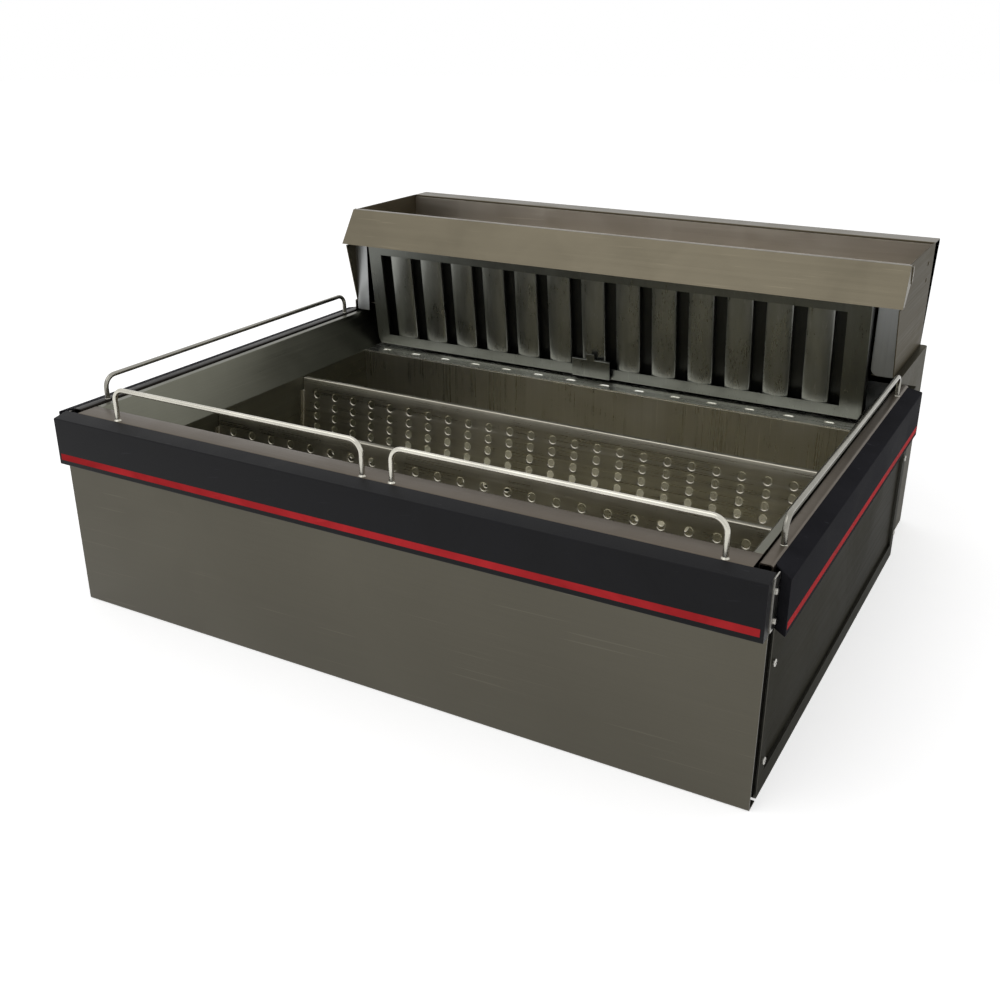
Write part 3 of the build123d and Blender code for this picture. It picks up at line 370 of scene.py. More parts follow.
def finishes(colours):
    """Every finish by its name; those that the record has no slot for belong to one piece."""
    hood = colours.hood
    return {
        "panel_steel": brushed("panel_steel", colours.panel, ALONG_X, (0.26, 0.42), 0.10, (4.2, 3.0, 0.7), 0.35),
        "side_steel": brushed("side_steel", colours.side, ALONG_Y, (0.28, 0.44), 0.16, (3, 6, 2), 0.0, edge=0.3),
        "housing_steel": brushed(
            "housing_steel", shade(colours.panel, 1.4)[:3], ALONG_X, (0.28, 0.44), 0.16, edge=0.4
        ),
        "hood_steel": brushed("hood_steel", hood, ALONG_X, (0.28, 0.44), 0.06, (3.0, 3.0, 3.0)),
        "hood_end_steel": brushed("hood_end_steel", hood, ALONG_Y, (0.28, 0.44), 0.06, edge=0.42),
        "tray_steel": brushed("tray_steel", colours.tray, ALONG_X, (0.26, 0.40), 0.08),
        "bin_steel": brushed("bin_steel", colours.bin, (1100, 1100, 7), (0.22, 0.36), 0.14, (5, 5, 3.0), 0.5),
        "slope_steel": brushed("slope_steel", colours.slope, ALONG_Y, (0.24, 0.38), 0.16, (9, 3, 9)),
        "shelf_steel": brushed("shelf_steel", colours.shelf, ALONG_X, (0.20, 0.32), 0.20, (14, 10, 10)),
        "perforated_steel": brushed(
            "perforated_steel", colours.perforated, ALONG_X, (0.22, 0.36), 0.16, (5, 4, 4), 0.6, 0.3
        ),
        # Bin floor: the perforated colour made lighter, painted light on the floor that shows through the holes
        "floor_painted_light": brushed("floor_painted_light", shade(colours.perforated, 2.4)[:3], ALONG_X, (0.22, 0.36), 0.16),
        "filter_steel": brushed("filter_steel", colours.filter, ALONG_Z, (0.24, 0.38), 0.12, (30, 30, 5)),
        "slat_steel": brushed("slat_steel", colours.slat, ALONG_Z, (0.22, 0.36), 0.10, (160, 160, 3)),
        # Rear slats: the slat colour darkened, painted shade on the row behind the front slats
        "rear_slat_painted_shade": brushed("rear_slat_painted_shade", shade(colours.slat, 0.16)[:3], ALONG_Z, (0.3, 0.45), 0.2),
        "filler_steel": brushed("filler_steel", colours.filler, ALONG_Z, (0.26, 0.40), 0.10),
        "rail_steel": polished_rod("rail_steel", colours.rail),
        # Side rails: the rail colour at half, painted shade for the dull reflection on the side rails
        "side_rail_painted_shade": polished_rod("side_rail_painted_shade", shade(colours.rail, 0.5)[:3]),
        "band_black": moulded("band_black", colours.band),
        # Side bands: the band colour made lighter with the gloss taken off, a painted sheen in place of the glancing
        # reflection
        "side_band_painted_sheen": moulded("side_band_painted_sheen", shade(colours.band, 2.3)[:3], gloss=0.002),
        "stripe_red": moulded("stripe_red", colours.stripe, (0.34, 0.46), 0.12, 0.002, 700),
        "shadow_steel": brushed("shadow_steel", shade(colours.side, 0.7)[:3], ALONG_Z, (0.34, 0.5), 0.12, edge=0.3),
        "ledge_steel": brushed("ledge_steel", colours.ledge, ALONG_X, (0.30, 0.46), 0.08, (3, 3, 3)),
        # Left ledge: the ledge colour darkened tenfold, painted shade where the left ledge shows dark
        "left_ledge_painted_shade": brushed("left_ledge_painted_shade", shade(colours.ledge, 0.10)[:3], ALONG_Y, (0.3, 0.46), 0.12),
        "inner_steel": galvanised("inner_steel", colours.inner),
        "fastener": brushed("fastener", (0.42, 0.41, 0.38), (900, 900, 900), (0.24, 0.36), 0.15),
        "motor_black": moulded("motor_black", (0.016, 0.016, 0.018), (0.42, 0.58), 0.3, 0.3, 500),
        "blower_grey": galvanised("blower_grey", (0.30, 0.31, 0.31)),
        "wheel_alu": brushed("wheel_alu", (0.46, 0.47, 0.48), (900, 900, 900), (0.3, 0.42), 0.12),
        "shaft_steel": brushed("shaft_steel", (0.40, 0.40, 0.40), (60, 900, 900), (0.16, 0.26), 0.12),
        "element_dark": galvanised("element_dark", (0.055, 0.050, 0.046), (0.5, 0.65), 0.6),
        "control_black": moulded("control_black", (0.012, 0.012, 0.013), (0.34, 0.46), 0.2, 0.35, 1200),
        "rocker_black": moulded("rocker_black", (0.010, 0.010, 0.011), (0.22, 0.34), 0.2, 0.45, 1500),
        "lamp_amber": lamp_lens("lamp_amber", (0.72, 0.26, 0.03)),
        "terminal_white": moulded("terminal_white", (0.62, 0.60, 0.54), (0.45, 0.6), 0.1, 0.35, 400),
        "gland_black": moulded("gland_black", (0.014, 0.014, 0.015), (0.46, 0.6), 0.2, 0.25, 800),
    }


FINISH = {}


# ---------------------------------------------------------------- making and fitting


def settings():
    """The sizes that the panel shows."""
    return bpy.context.scene.warmer_sizes


def shown(bm, name, body, finish, nodes, sharp=SHARP):
    """Turns a bmesh into a piece with its finish, riding its body in place of the nodes it stands for."""
    mesh = bpy.data.meshes.new(name)
    bm.normal_update()
    bm.to_mesh(mesh)
    bm.free()
    mesh.shade_smooth()
    mesh.set_sharp_from_angle(angle=sharp)
    mesh.materials.append(FINISH[finish])
    piece = bpy.data.objects.new(name, mesh)
    bpy.context.scene.collection.objects.link(piece)
    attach(piece, body)
    if nodes:
        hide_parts(*nodes)
    return piece


def material_on(node, finish):
    """Gives a CAD node its finish."""
    slots = frame["nodes"][node].data.materials
    slots.clear()
    slots.append(FINISH[finish])


def body_of(node):
    """The body that a node rides on."""
    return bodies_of(frame["nodes"][node])[0]


def face_width(face, edge):
    """How far a face reaches away from one of its edges."""
    along = (edge.verts[1].co - edge.verts[0].co).normalized()
    across = along.cross(face.normal)
    reach = [v.co.dot(across) for v in face.verts]
    return max(reach) - min(reach)


def finished_copy(node, finish, name=None, fold=None, cut=None):
    """A merged copy of a CAD node with rounded folds and eased cut edges, in the node's place."""
    fold = fold or settings().fold_radius
    cut = cut or settings().cut_round
    bm = bmesh.new()
    bm.from_mesh(frame["nodes"][node].data)
    bmesh.ops.remove_doubles(bm, verts=bm.verts, dist=1e-6)
    bmesh.ops.dissolve_limit(bm, angle_limit=math.radians(0.6), verts=bm.verts, edges=bm.edges)
    weights = bm.edges.layers.float.new("bevel_weight_edge")
    for edge in bm.edges:
        if len(edge.link_faces) != 2 or edge.calc_face_angle(0) < math.radians(28):
            continue
        width = min(face_width(face, edge) for face in edge.link_faces)
        radius = cut
        if width > 3.2 * MM:
            radius = fold if edge.is_convex else max(cut, fold - SHEET * MM)
        edge[weights] = min(1.0, radius / fold)
    piece = shown(bm, name or f"{node}_sheet", body_of(node), finish, [node])
    rounding = piece.modifiers.new("rounding", "BEVEL")
    rounding.limit_method = "WEIGHT"
    rounding.width = fold
    rounding.segments = 3
    rounding.profile = 0.5
    rounding.use_clamp_overlap = True
    rounding.harden_normals = True
    return piece


def folded_sheet(path, draw, radius, thickness=SHEET * MM, segments=3):
    """Sheet bent along a path of places and drawn out by a vector, its path side outwards."""
    bm = bmesh.new()
    line = [bm.verts.new(p) for p in path]
    edges = [bm.edges.new(pair) for pair in zip(line, line[1:])]
    made = bmesh.ops.extrude_edge_only(bm, edges=edges)["geom"]
    bmesh.ops.translate(bm, verts=[v for v in made if isinstance(v, bmesh.types.BMVert)], vec=draw)
    bm.normal_update()
    folds = [e for e in bm.edges if len(e.link_faces) == 2 and e.calc_face_angle(0) > math.radians(25)]
    if folds:
        bmesh.ops.bevel(
            bm, geom=folds, offset=radius, segments=segments, profile=0.5, affect="EDGES", material=-1
        )
    thicken(bm, thickness)
    return bm


def thicken(bm, thickness):
    """Gives a sheet its thickness on the side away from its faces."""
    bm.normal_update()
    bmesh.ops.solidify(bm, geom=bm.faces[:], thickness=thickness)
    bm.normal_update()


def moved(bm, matrix):
    """Transforms everything in a bmesh."""
    bmesh.ops.transform(bm, matrix=matrix, verts=bm.verts)
    return bm


def joined(parts):
    """One bmesh holding several."""
    whole = bmesh.new()
    for part in parts:
        mesh = bpy.data.meshes.new("part")
        part.to_mesh(mesh)
        part.free()
        whole.from_mesh(mesh)
        bpy.data.meshes.remove(mesh)
    return whole


class PieceOperator:
    """What every operator of this add-on shares."""

    bl_options = {"REGISTER", "UNDO"}

    def execute(self, context):
        if not FINISH:
            FINISH.update(finishes(context.scene.warmer_colours))
        self.make(context.scene.warmer_sizes)
        return {"FINISHED"}


class WARMER_OT_front_panel(PieceOperator, bpy.types.Operator):
    """Front panel folded from one sheet"""

    bl_idname = "warmer.front_panel"
    bl_label = "Front Panel"

    def make(self, sizes):
        path = [(14, 0), (0, 0), (0, PANEL_TOP), (14, PANEL_TOP)]
        places = [place(-HALF_WIDTH, d, z) for d, z in path]
        bm = folded_sheet(places, Vector((2 * HALF_WIDTH * MM, 0, 0)), sizes.fold_radius)
        shown(bm, "front_panel_sheet", "cabinet", "panel_steel", ["front_panel"])


class WARMER_OT_side_panels(PieceOperator, bpy.types.Operator):
    """Side frames, their set-in sheets, corner posts and clips"""

    bl_idname = "warmer.side_panels"
    bl_label = "Side Panels"

    def make(self, sizes):
        for node in ("left_side_panel", "right_side_panel"):
            finished_copy(node, "side_steel")
        finished_copy("side_insets", "side_steel", cut=0.0002)
        finished_copy("corner_posts", "shadow_steel")
        finished_copy("corner_brackets", "fastener")
        finished_copy("body_back_panel", "inner_steel")
        finished_copy("base_pan", "inner_steel")


class WARMER_OT_bands(PieceOperator, bpy.types.Operator):
    """Black bumper bands and the stripe let into them"""

    bl_idname = "warmer.bands"
    bl_label = "Bumper Bands"

    def make(self, sizes):
        finished_copy("front_bumper_band", "band_black", fold=0.0006, cut=0.00015)
        for node in ("left_bumper_band", "right_bumper_band"):
            # the side bands take the lightened band colour: painted sheen
            finished_copy(node, "side_band_painted_sheen", fold=0.0006, cut=0.00015)
        material_on("band_stripes", "stripe_red")


class WARMER_OT_ledges(PieceOperator, bpy.types.Operator):
    """Ledges that carry the rails"""

    bl_idname = "warmer.ledges"
    bl_label = "Ledges"

    def make(self, sizes):
        path = [(BAND_LAP, PANEL_TOP), (BAND_LAP, LEDGE_TOP), (30, LEDGE_TOP), (30, LEDGE_TOP - 14)]
        half = HALF_WIDTH - 17
        bm = folded_sheet([place(-half, d, z) for d, z in path], Vector((2 * half * MM, 0, 0)), 0.0012)
        shown(bm, "front_ledge_sheet", "cabinet", "ledge_steel", ["front_ledge"])
        for side, name in ((-1, "left"), (1, "right")):
            inset = [(BAND_LAP, PANEL_TOP), (BAND_LAP, LEDGE_TOP), (14, LEDGE_TOP), (14, PANEL_TOP)]
            if side > 0:
                inset.reverse()
            line = [place(side * (HALF_WIDTH - i), 12, z) for i, z in inset]
            bm = folded_sheet(line, Vector((0, 478 * MM, 0)), 0.0012)
            # the left ledge takes the darkened ledge colour: painted shade
            finish = "left_ledge_painted_shade" if side < 0 else "ledge_steel"
            shown(bm, f"{name}_ledge_sheet", "cabinet", finish, [f"{name}_side_ledge"])


def bent_rod(start, end, top, radius, bend, sides):
    """A hoop of rod: up from the first foot, along, and down to the second."""
    bm = bmesh.new()
    run = (end - start).normalized()
    up = Vector((0, 0, 1))
    rise = top - start.z - bend
    ring = bmesh.ops.create_circle(bm, cap_ends=False, segments=sides, radius=radius)["verts"]
    bmesh.ops.translate(bm, verts=ring, vec=start)

    def tip_edges(ring):
        return [e for e in bm.edges if e.verts[0] in ring and e.verts[1] in ring]

    def straight(ring, vector):
        out = bmesh.ops.extrude_edge_only(bm, edges=tip_edges(ring))["geom"]
        verts = [g for g in out if isinstance(g, bmesh.types.BMVert)]
        bmesh.ops.translate(bm, verts=verts, vec=vector)
        return verts

    def corner(ring, centre):
        out = bmesh.ops.spin(
            bm,
            geom=ring + tip_edges(ring),
            cent=centre,
            axis=up.cross(run),
            angle=math.pi / 2,
            steps=ROD_BEND_STEPS,
        )["geom_last"]
        return [g for g in out if isinstance(g, bmesh.types.BMVert)]

    ring = straight(ring, up * rise)
    ring = corner(ring, start + up * rise + run * bend)
    ring = straight(ring, run * ((end - start).length - 2 * bend))
    ring = corner(ring, end + up * rise - run * bend)
    straight(ring, -up * rise)
    bmesh.ops.holes_fill(bm, edges=[e for e in bm.edges if e.is_boundary], sides=0)
    bmesh.ops.recalc_face_normals(bm, faces=bm.faces)
    return bm


def weld_collar(foot, sides):
    """The smooth bead of weld round a rail's foot."""
    bm = bmesh.new()
    bead = [(ROD_RADIUS, 1.5), (2.9, 0.7), (3.4, 0.05), (3.4, 0.0)]
    line = [bm.verts.new(Vector((r * MM, 0, z * MM))) for r, z in bead]
    for pair in zip(line, line[1:]):
        bm.edges.new(pair)
    bmesh.ops.spin(
        bm,
        geom=bm.verts[:] + bm.edges[:],
        cent=(0, 0, 0),
        axis=(0, 0, 1),
        angle=2 * math.pi,
        steps=sides,
        use_merge=True,
    )
    bmesh.ops.holes_fill(bm, edges=[e for e in bm.edges if e.is_boundary], sides=0)
    bmesh.ops.recalc_face_normals(bm, faces=bm.faces)
    return moved(bm, Matrix.Translation(foot))


class WARMER_OT_rails(PieceOperator, bpy.types.Operator):
    """Rod rails on the ledges, with a weld at each foot"""

    bl_idname = "warmer.rails"
    bl_label = "Rod Rails"

    def make(self, sizes):
        hoops = {
            name: (place(x0, FRONT_RAIL_DEPTH, LEDGE_TOP), place(x1, FRONT_RAIL_DEPTH, LEDGE_TOP), FRONT_RAIL_TOP)
            for name, (x0, x1) in FRONT_RAIL_ENDS.items()
        }
        for name, x in SIDE_RAIL_X.items():
            near, far = (place(x, d, LEDGE_TOP) for d in SIDE_RAIL_ENDS)
            hoops[name] = (near, far, SIDE_RAIL_TOP)
        collars = []
        for name, (start, end, top) in hoops.items():
            bm = bent_rod(start, end, top * MM, ROD_RADIUS * MM, ROD_BEND * MM, sizes.rod_sides)
            # the side rails take the halved rail colour: painted shade
            finish = "side_rail_painted_shade" if name in SIDE_RAIL_X else "rail_steel"
            shown(bm, f"{name}_rod", "cabinet", finish, [name])
            collars += [weld_collar(foot, sizes.rod_sides) for foot in (start, end)]
        shown(joined(collars), "rail_welds", "cabinet", "rail_steel", ["rail_feet"])


class WARMER_OT_bin(PieceOperator, bpy.types.Operator):
    """Sheets that line the bin, and the shelf under the filter"""

    bl_idname = "warmer.bin"
    bl_label = "Bin"

    def make(self, sizes):
        for node in ("bin_front_wall", "bin_back_wall"):
            finished_copy(node, "bin_steel", fold=0.0024)
        for node in ("left_bin_wall", "right_bin_wall"):
            finished_copy(node, "slope_steel", fold=0.0024)
        finished_copy("filter_shelf", "shelf_steel", fold=0.0016, cut=0.0002)


def hole_cell(width, height, hole, dish, sides):
    """One rectangle of sheet round a punched hole whose rim is pulled in, in the plane of X and Z."""
    bm = bmesh.new()
    rim = bmesh.ops.create_circle(bm, cap_ends=False, segments=sides, radius=hole)["verts"]
    bmesh.ops.translate(bm, verts=rim, vec=(0, 0, -dish))

    def outwards(ring):
        edges = [e for e in bm.edges if len(e.link_faces) < 2 and all(v in ring for v in e.verts)]
        out = bmesh.ops.extrude_edge_only(bm, edges=edges)["geom"]
        return [g for g in out if isinstance(g, bmesh.types.BMVert)]

    for scale, depth in ((1.12, 0.25 * dish), (1.28, 0.0)):
        rim = outwards(rim)
        for v in rim:
            v.co.xy = v.co.xy.normalized() * hole * scale
            v.co.z = -depth
    for v in outwards(rim):
        reach = max(abs(v.co.x), abs(v.co.y))
        v.co.x *= width / 2 / reach
        v.co.y *= height / 2 / reach
    return moved(bm, Matrix.Rotation(math.pi / 2, 4, "X"))


def perforated(columns, rows, width, height, hole, dish, sides, left_out=()):
    """A field of punched cells centred across, with its first row at the foot."""
    cell = hole_cell(width, height, hole, dish, sides)
    mesh = bpy.data.meshes.new("cell")
    cell.to_mesh(mesh)
    cell.free()
    bm = bmesh.new()
    for column in range(columns):
        for row in range(rows):
            if (column, row) in left_out:
                continue
            before = set(bm.verts)
            bm.from_mesh(mesh)
            fresh = [v for v in bm.verts if v not in before]
            shift = ((column - (columns - 1) / 2) * width, 0, (row + 0.5) * height)
            bmesh.ops.translate(bm, verts=fresh, vec=shift)
    bpy.data.meshes.remove(mesh)
    bmesh.ops.remove_doubles(bm, verts=bm.verts, dist=1e-6)
    return bm


def drawn(bm, test, vector):
    """Draws the free edges that pass a test out by a vector, and returns the new corners."""
    edges = [e for e in bm.edges if e.is_boundary and all(test(v.co) for v in e.verts)]
    if not edges:
        raise ValueError("no free edge to draw out")
    out = bmesh.ops.extrude_edge_only(bm, edges=edges)["geom"]
    verts = [g for g in out if isinstance(g, bmesh.types.BMVert)]
    bmesh.ops.translate(bm, verts=verts, vec=vector)
    return verts


def round_folds(bm, radius):
    """Rounds every edge where a flat sheet turns a corner."""
    bm.normal_update()
    folds = [e for e in bm.edges if len(e.link_faces) == 2 and e.calc_face_angle(0) > math.radians(60)]
    bmesh.ops.bevel(bm, geom=folds, offset=radius, segments=3, profile=0.5, affect="EDGES", material=-1)


def near(value, target):
    """True where two lengths agree to a hundredth of a millimetre."""
    return abs(value - target) < 1e-5


class WARMER_OT_perforated(PieceOperator, bpy.types.Operator):
    """Two perforated dividers and the perforated floor"""

    bl_idname = "warmer.perforated"
    bl_label = "Dividers and Floor"

    def make(self, sizes):
        for name, depth in zip(("front", "rear"), DIVIDER_DEPTHS):
            bm = self.divider(sizes, depth)
            body = f"{name}_divider_piece"
            shown(bm, f"{name}_divider_sheet", body, "perforated_steel", [f"{name}_divider"])
        # the floor takes the lightened perforated colour: painted light
        material_on("bin_floor", "floor_painted_light")

    def divider(self, sizes, top_depth):
        tall = ((DIVIDER_TOP - FLOOR_HEIGHT) / math.cos(DIVIDER_LEAN) - 0.3) * MM
        half = DIVIDER_HALF * MM
        width, height = PITCH * MM, ROW_PITCH * MM
        bm = perforated(COLUMNS, DIVIDER_ROWS, width, height, HOLE * MM, sizes.hole_dish, sizes.hole_sides)
        foot = tall - DIVIDER_FIRST_ROW * MM - (DIVIDER_ROWS - 0.5) * height
        bmesh.ops.translate(bm, verts=bm.verts, vec=(0, 0, foot))
        field_half = COLUMNS * width / 2
        field_top = foot + DIVIDER_ROWS * height
        for side in (-1, 1):
            drawn(bm, lambda c: near(c.x, side * field_half), (side * (half - field_half), 0, 0))
        drawn(bm, lambda c: near(c.z, field_top), (0, 0, tall - field_top))
        drawn(bm, lambda c: near(c.z, foot), (0, 0, -foot))
        drawn(bm, lambda c: near(c.z, tall), (0, DIVIDER_FOLD * MM, 0))
        flange_top = tall - 15 * MM
        for side in (-1, 1):
            drawn(bm, lambda c: near(c.x, side * half) and c.z < flange_top and near(c.y, 0),
                  (0, -(DIVIDER_FOLD - DIVIDER_SHEET) * MM, 0))
        round_folds(bm, 0.0011)
        bmesh.ops.recalc_face_normals(bm, faces=bm.faces)
        if sum(f.normal.y * f.calc_area() for f in bm.faces) > 0:
            bmesh.ops.reverse_faces(bm, faces=bm.faces)
        thicken(bm, DIVIDER_SHEET * MM)
        foot_depth = top_depth - (DIVIDER_TOP - FLOOR_HEIGHT) * math.tan(DIVIDER_LEAN)
        stand = Matrix.Translation(place(0, foot_depth, FLOOR_HEIGHT + 0.1)) @ Matrix.Rotation(-DIVIDER_LEAN, 4, "X")
        return moved(bm, stand)


def standing_in_filter():
    """Turns a piece built upright at the origin into its place in the leaning filter."""
    return Matrix.Translation(place(0, *FILTER_FOOT)) @ Matrix.Rotation(FILTER_LEAN, 4, "X")


class WARMER_OT_filter(PieceOperator, bpy.types.Operator):
    """Baffle filter: frame, two rows of slats and a pull plate"""

    bl_idname = "warmer.filter"
    bl_label = "Filter"

    def make(self, sizes):
        finished_copy("filter_frame", "filter_steel", fold=0.0015)
        front = [self.slat(sizes, (i - 6) * SLAT_PITCH, 27.5, 1.2, 6.2, 1) for i in range(13)]
        shown(joined(front), "filter_front_slats", "filter", "slat_steel", ["filter_front_baffles"])
        rear = [self.slat(sizes, (i - 6.5) * SLAT_PITCH, 27.0, 14.8, 9.8, -1) for i in range(14)]
        # the rear row takes the darkened slat colour: painted shade
        shown(joined(rear), "filter_rear_slats", "filter", "rear_slat_painted_shade", ["filter_rear_baffles"])
        finished_copy("filter_handle", "filter_steel", fold=0.0008, cut=0.0003)

    def slat(self, sizes, middle, width, face, lips, way):
        """One channel slat whose face is slightly crowned, its lips turned towards the other row."""
        half = width / 2
        crown = sizes.slat_crown / MM * way
        arc = [(t * half, face + crown * t * t) for t in (-1, -0.66, -0.33, 0, 0.33, 0.66, 1)]
        line = [(-half, lips), *arc, (half, lips)]
        if way < 0:
            line.reverse()
        path = [Vector(((middle + x) * MM, d * MM, SLAT_BOTTOM * MM)) for x, d in line]
        bm = folded_sheet(path, Vector((0, 0, (SLAT_TOP - SLAT_BOTTOM) * MM)), 0.0011, 0.0009)
        return moved(bm, standing_in_filter())


class WARMER_OT_hood(PieceOperator, bpy.types.Operator):
    """Hood: visor, end plates, back, open tray and filler strips"""

    bl_idname = "warmer.hood"
    bl_label = "Hood"

    def make(self, sizes):
        finished_copy("hood_visor", "hood_steel", fold=0.0014)
        for node in ("left_hood_end", "right_hood_end"):
            finished_copy(node, "hood_end_steel", fold=0.001)
        finished_copy("hood_back", "hood_steel")
        finished_copy("hood_tray", "tray_steel")
        finished_copy("filler_strips", "filler_steel", cut=0.0002)


class WARMER_OT_housing(PieceOperator, bpy.types.Operator):
    """Rear housing and its cover"""

    bl_idname = "warmer.housing"
    bl_label = "Rear Housing"

    def make(self, sizes):
        for node in ("housing_sides", "housing_top", "rear_cover"):
            finished_copy(node, "housing_steel", cut=0.0002)
        finished_copy("housing_base", "inner_steel")


class WARMER_OT_air_mover(PieceOperator, bpy.types.Operator):
    """Blower, motor and heater inside the housing"""

    bl_idname = "warmer.air_mover"
    bl_label = "Blower and Heater"

    def make(self, sizes):
        given = {
            "blower_housings": "blower_grey",
            "left_blower_wheel": "wheel_alu",
            "right_blower_wheel": "wheel_alu",
            "blower_shaft": "shaft_steel",
            "blower_motor": "motor_black",
            "motor_bracket": "inner_steel",
            "heater_element": "element_dark",
            "heater_brackets": "inner_steel",
            "high_limit_thermostat": "fastener",
            "terminal_block": "terminal_white",
        }
        for node, finish in given.items():
            material_on(node, finish)


class WARMER_OT_controls(PieceOperator, bpy.types.Operator):
    """Switch, lamp, thermostat knob and cable gland on the rear cover"""

    bl_idname = "warmer.controls"
    bl_label = "Controls"

    def make(self, sizes):
        finished_copy("switch_housing", "control_black", fold=0.0008, cut=0.0004)
        finished_copy("rocker_switch", "rocker_black", fold=0.0006, cut=0.0003)
        material_on("indicator_lamp", "lamp_amber")
        material_on("thermostat_body", "control_black")
        material_on("thermostat_knob", "control_black")
        material_on("power_inlet", "gland_black")


class WARMER_OT_screws(PieceOperator, bpy.types.Operator):
    """Cross-recess screws"""

    bl_idname = "warmer.screws"
    bl_label = "Screws"

    def make(self, sizes):
        for node in ("cover_screws", "side_screws"):
            material_on(node, "fastener")


# ---------------------------------------------------------------- stage

CAMERA_PLACE = (0.53533, -1.03206, 0.57424)
CAMERA_YAW = 0.50311855
CAMERA_PITCH = 0.41020102
CAMERA_ROLL = 0.00314537
CAMERA_SHIFT = (-0.005907, -0.000819)
SENSOR = 36.0
FLOOR_RADIUS = 9.0


def floor_material():
    """Pale floor that shows white and keeps the warmer's shadow."""
    g = Graph("studio_floor")
    nodes, links = g.tree.nodes, g.tree.links
    speck = g.noise((40, 40, 40), 3, 0.5)
    g.set(Base_Color=g.mix(speck, (0.84, 0.84, 0.84, 1), (0.87, 0.87, 0.87, 1)), Roughness=0.9)
    g.shader.inputs["Specular IOR Level"].default_value = 0.0
    seen = nodes.new("ShaderNodeLightPath")
    glow = nodes.new("ShaderNodeEmission")
    glow.inputs["Strength"].default_value = 0.52
    off = nodes.new("ShaderNodeEmission")
    off.inputs["Strength"].default_value = 0.0
    look = g.sum(g.sum(seen.outputs["Is Camera Ray"], seen.outputs["Is Glossy Ray"], "MAXIMUM"),
                 seen.outputs["Is Transmission Ray"], "MAXIMUM")
    pick = nodes.new("ShaderNodeMixShader")
    links.new(look, pick.inputs[0])
    links.new(off.outputs[0], pick.inputs[1])
    links.new(glow.outputs[0], pick.inputs[2])
    both = nodes.new("ShaderNodeAddShader")
    links.new(g.shader.outputs[0], both.inputs[0])
    links.new(pick.outputs[0], both.inputs[1])
    output = next(n for n in nodes if n.type == "OUTPUT_MATERIAL")
    links.new(both.outputs[0], output.inputs["Surface"])
    return g.material


def make_world(sky):
    """White to the eye and in reflections, softer as light."""
    world = bpy.data.worlds.new("studio")
    bpy.context.scene.world = world
    world.use_nodes = True
    nodes, links = world.node_tree.nodes, world.node_tree.links
    nodes.clear()
    output = nodes.new("ShaderNodeOutputWorld")
    seen = nodes.new("ShaderNodeLightPath")
    white, room = nodes.new("ShaderNodeBackground"), nodes.new("ShaderNodeBackground")
    white.inputs["Strength"].default_value = 1.0
    room.inputs["Strength"].default_value = sky
    white.inputs["Color"].default_value = room.inputs["Color"].default_value = (1, 1, 1, 1)
    first, second = nodes.new("ShaderNodeMath"), nodes.new("ShaderNodeMath")
    first.operation = second.operation = "MAXIMUM"
    links.new(seen.outputs["Is Camera Ray"], first.inputs[0])
    links.new(seen.outputs["Is Glossy Ray"], first.inputs[1])
    links.new(first.outputs[0], second.inputs[0])
    links.new(seen.outputs["Is Transmission Ray"], second.inputs[1])
    pick = nodes.new("ShaderNodeMixShader")
    links.new(second.outputs[0], pick.inputs[0])
    links.new(room.outputs[0], pick.inputs[1])
    links.new(white.outputs[0], pick.inputs[2])
    links.new(pick.outputs[0], output.inputs["Surface"])


def lamp(name, power, size, at, aim=(0, 0, 0.15)):
    """A large soft lamp that faces a place."""
    data = bpy.data.lights.new(name, "AREA")
    data.shape = "RECTANGLE"
    data.size, data.size_y = size
    data.energy = power
    light = bpy.data.objects.new(name, data)
    bpy.context.scene.collection.objects.link(light)
    light.location = at
    light.rotation_euler = (Vector(aim) - Vector(at)).to_track_quat("-Z", "Y").to_euler()
    return light


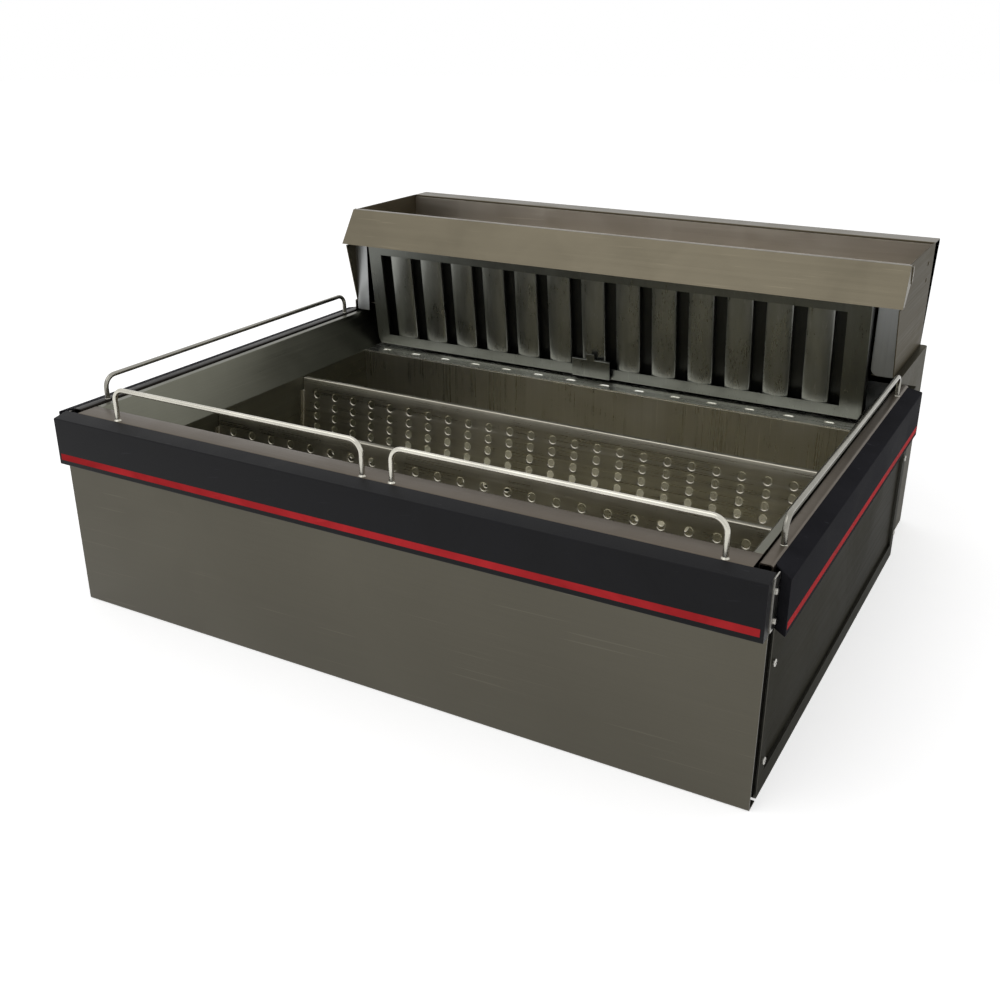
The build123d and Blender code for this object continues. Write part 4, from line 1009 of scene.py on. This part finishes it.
class WARMER_OT_stage(bpy.types.Operator):
    """Pale floor, soft lamps and the camera"""

    bl_idname = "warmer.stage"
    bl_label = "Studio"
    bl_options = {"REGISTER", "UNDO"}

    def execute(self, context):
        stage = context.scene.warmer_stage
        bm = bmesh.new()
        bmesh.ops.create_circle(bm, cap_ends=True, segments=96, radius=FLOOR_RADIUS)
        mesh = bpy.data.meshes.new("studio_floor")
        bm.to_mesh(mesh)
        bm.free()
        mesh.materials.append(floor_material())
        floor = bpy.data.objects.new("studio_floor", mesh)
        context.scene.collection.objects.link(floor)
        make_world(stage.sky)
        lamp("key_lamp", stage.key_power, (3.0, 2.2), (-0.9, -1.6, 2.8))
        lamp("fill_lamp", stage.fill_power, (1.4, 2.0), (2.6, -0.6, 1.5))
        data = bpy.data.cameras.new("camera")
        data.sensor_width = SENSOR
        data.lens = stage.lens
        data.shift_x, data.shift_y = CAMERA_SHIFT
        data.clip_start, data.clip_end = 0.05, 60
        camera = bpy.data.objects.new("camera", data)
        context.scene.collection.objects.link(camera)
        level = Euler((math.pi / 2 - CAMERA_PITCH, 0, CAMERA_YAW)).to_matrix().to_4x4()
        camera.matrix_world = Matrix.Translation(CAMERA_PLACE) @ level @ Matrix.Rotation(CAMERA_ROLL, 4, "Z")
        context.scene.camera = camera
        context.scene.view_settings.view_transform = "Standard"
        return {"FINISHED"}


# ---------------------------------------------------------------- add-on


class WARMER_PT_panel(bpy.types.Panel):
    """Lists the pieces of the chip warmer"""

    bl_idname = "WARMER_PT_panel"
    bl_label = "Chip Warmer"
    bl_space_type = "VIEW_3D"
    bl_region_type = "UI"
    bl_category = "Chip Warmer"

    def draw(self, context):
        for operator in OPERATORS:
            self.layout.operator(operator.bl_idname)
        for group in (context.scene.warmer_sizes, context.scene.warmer_colours, context.scene.warmer_stage):
            box = self.layout.box()
            for name in group.__annotations__:
                box.prop(group, name)


OPERATORS = (
    WARMER_OT_front_panel,
    WARMER_OT_side_panels,
    WARMER_OT_bands,
    WARMER_OT_ledges,
    WARMER_OT_rails,
    WARMER_OT_bin,
    WARMER_OT_perforated,
    WARMER_OT_filter,
    WARMER_OT_hood,
    WARMER_OT_housing,
    WARMER_OT_air_mover,
    WARMER_OT_controls,
    WARMER_OT_screws,
    WARMER_OT_stage,
)
GROUPS = {"warmer_sizes": WarmerSizes, "warmer_colours": WarmerColours, "warmer_stage": WarmerStage}


def register():
    for cls in (*GROUPS.values(), *OPERATORS, WARMER_PT_panel):
        bpy.utils.register_class(cls)
    for name, group in GROUPS.items():
        setattr(bpy.types.Scene, name, PointerProperty(type=group))


def unregister():
    for name in GROUPS:
        delattr(bpy.types.Scene, name)
    for cls in (WARMER_PT_panel, *reversed(OPERATORS), *GROUPS.values()):
        bpy.utils.unregister_class(cls)


def main():
    register()
    for operator in OPERATORS:
        group, name = operator.bl_idname.split(".")
        getattr(getattr(bpy.ops, group), name)()


if __name__ == "__main__":
    main()
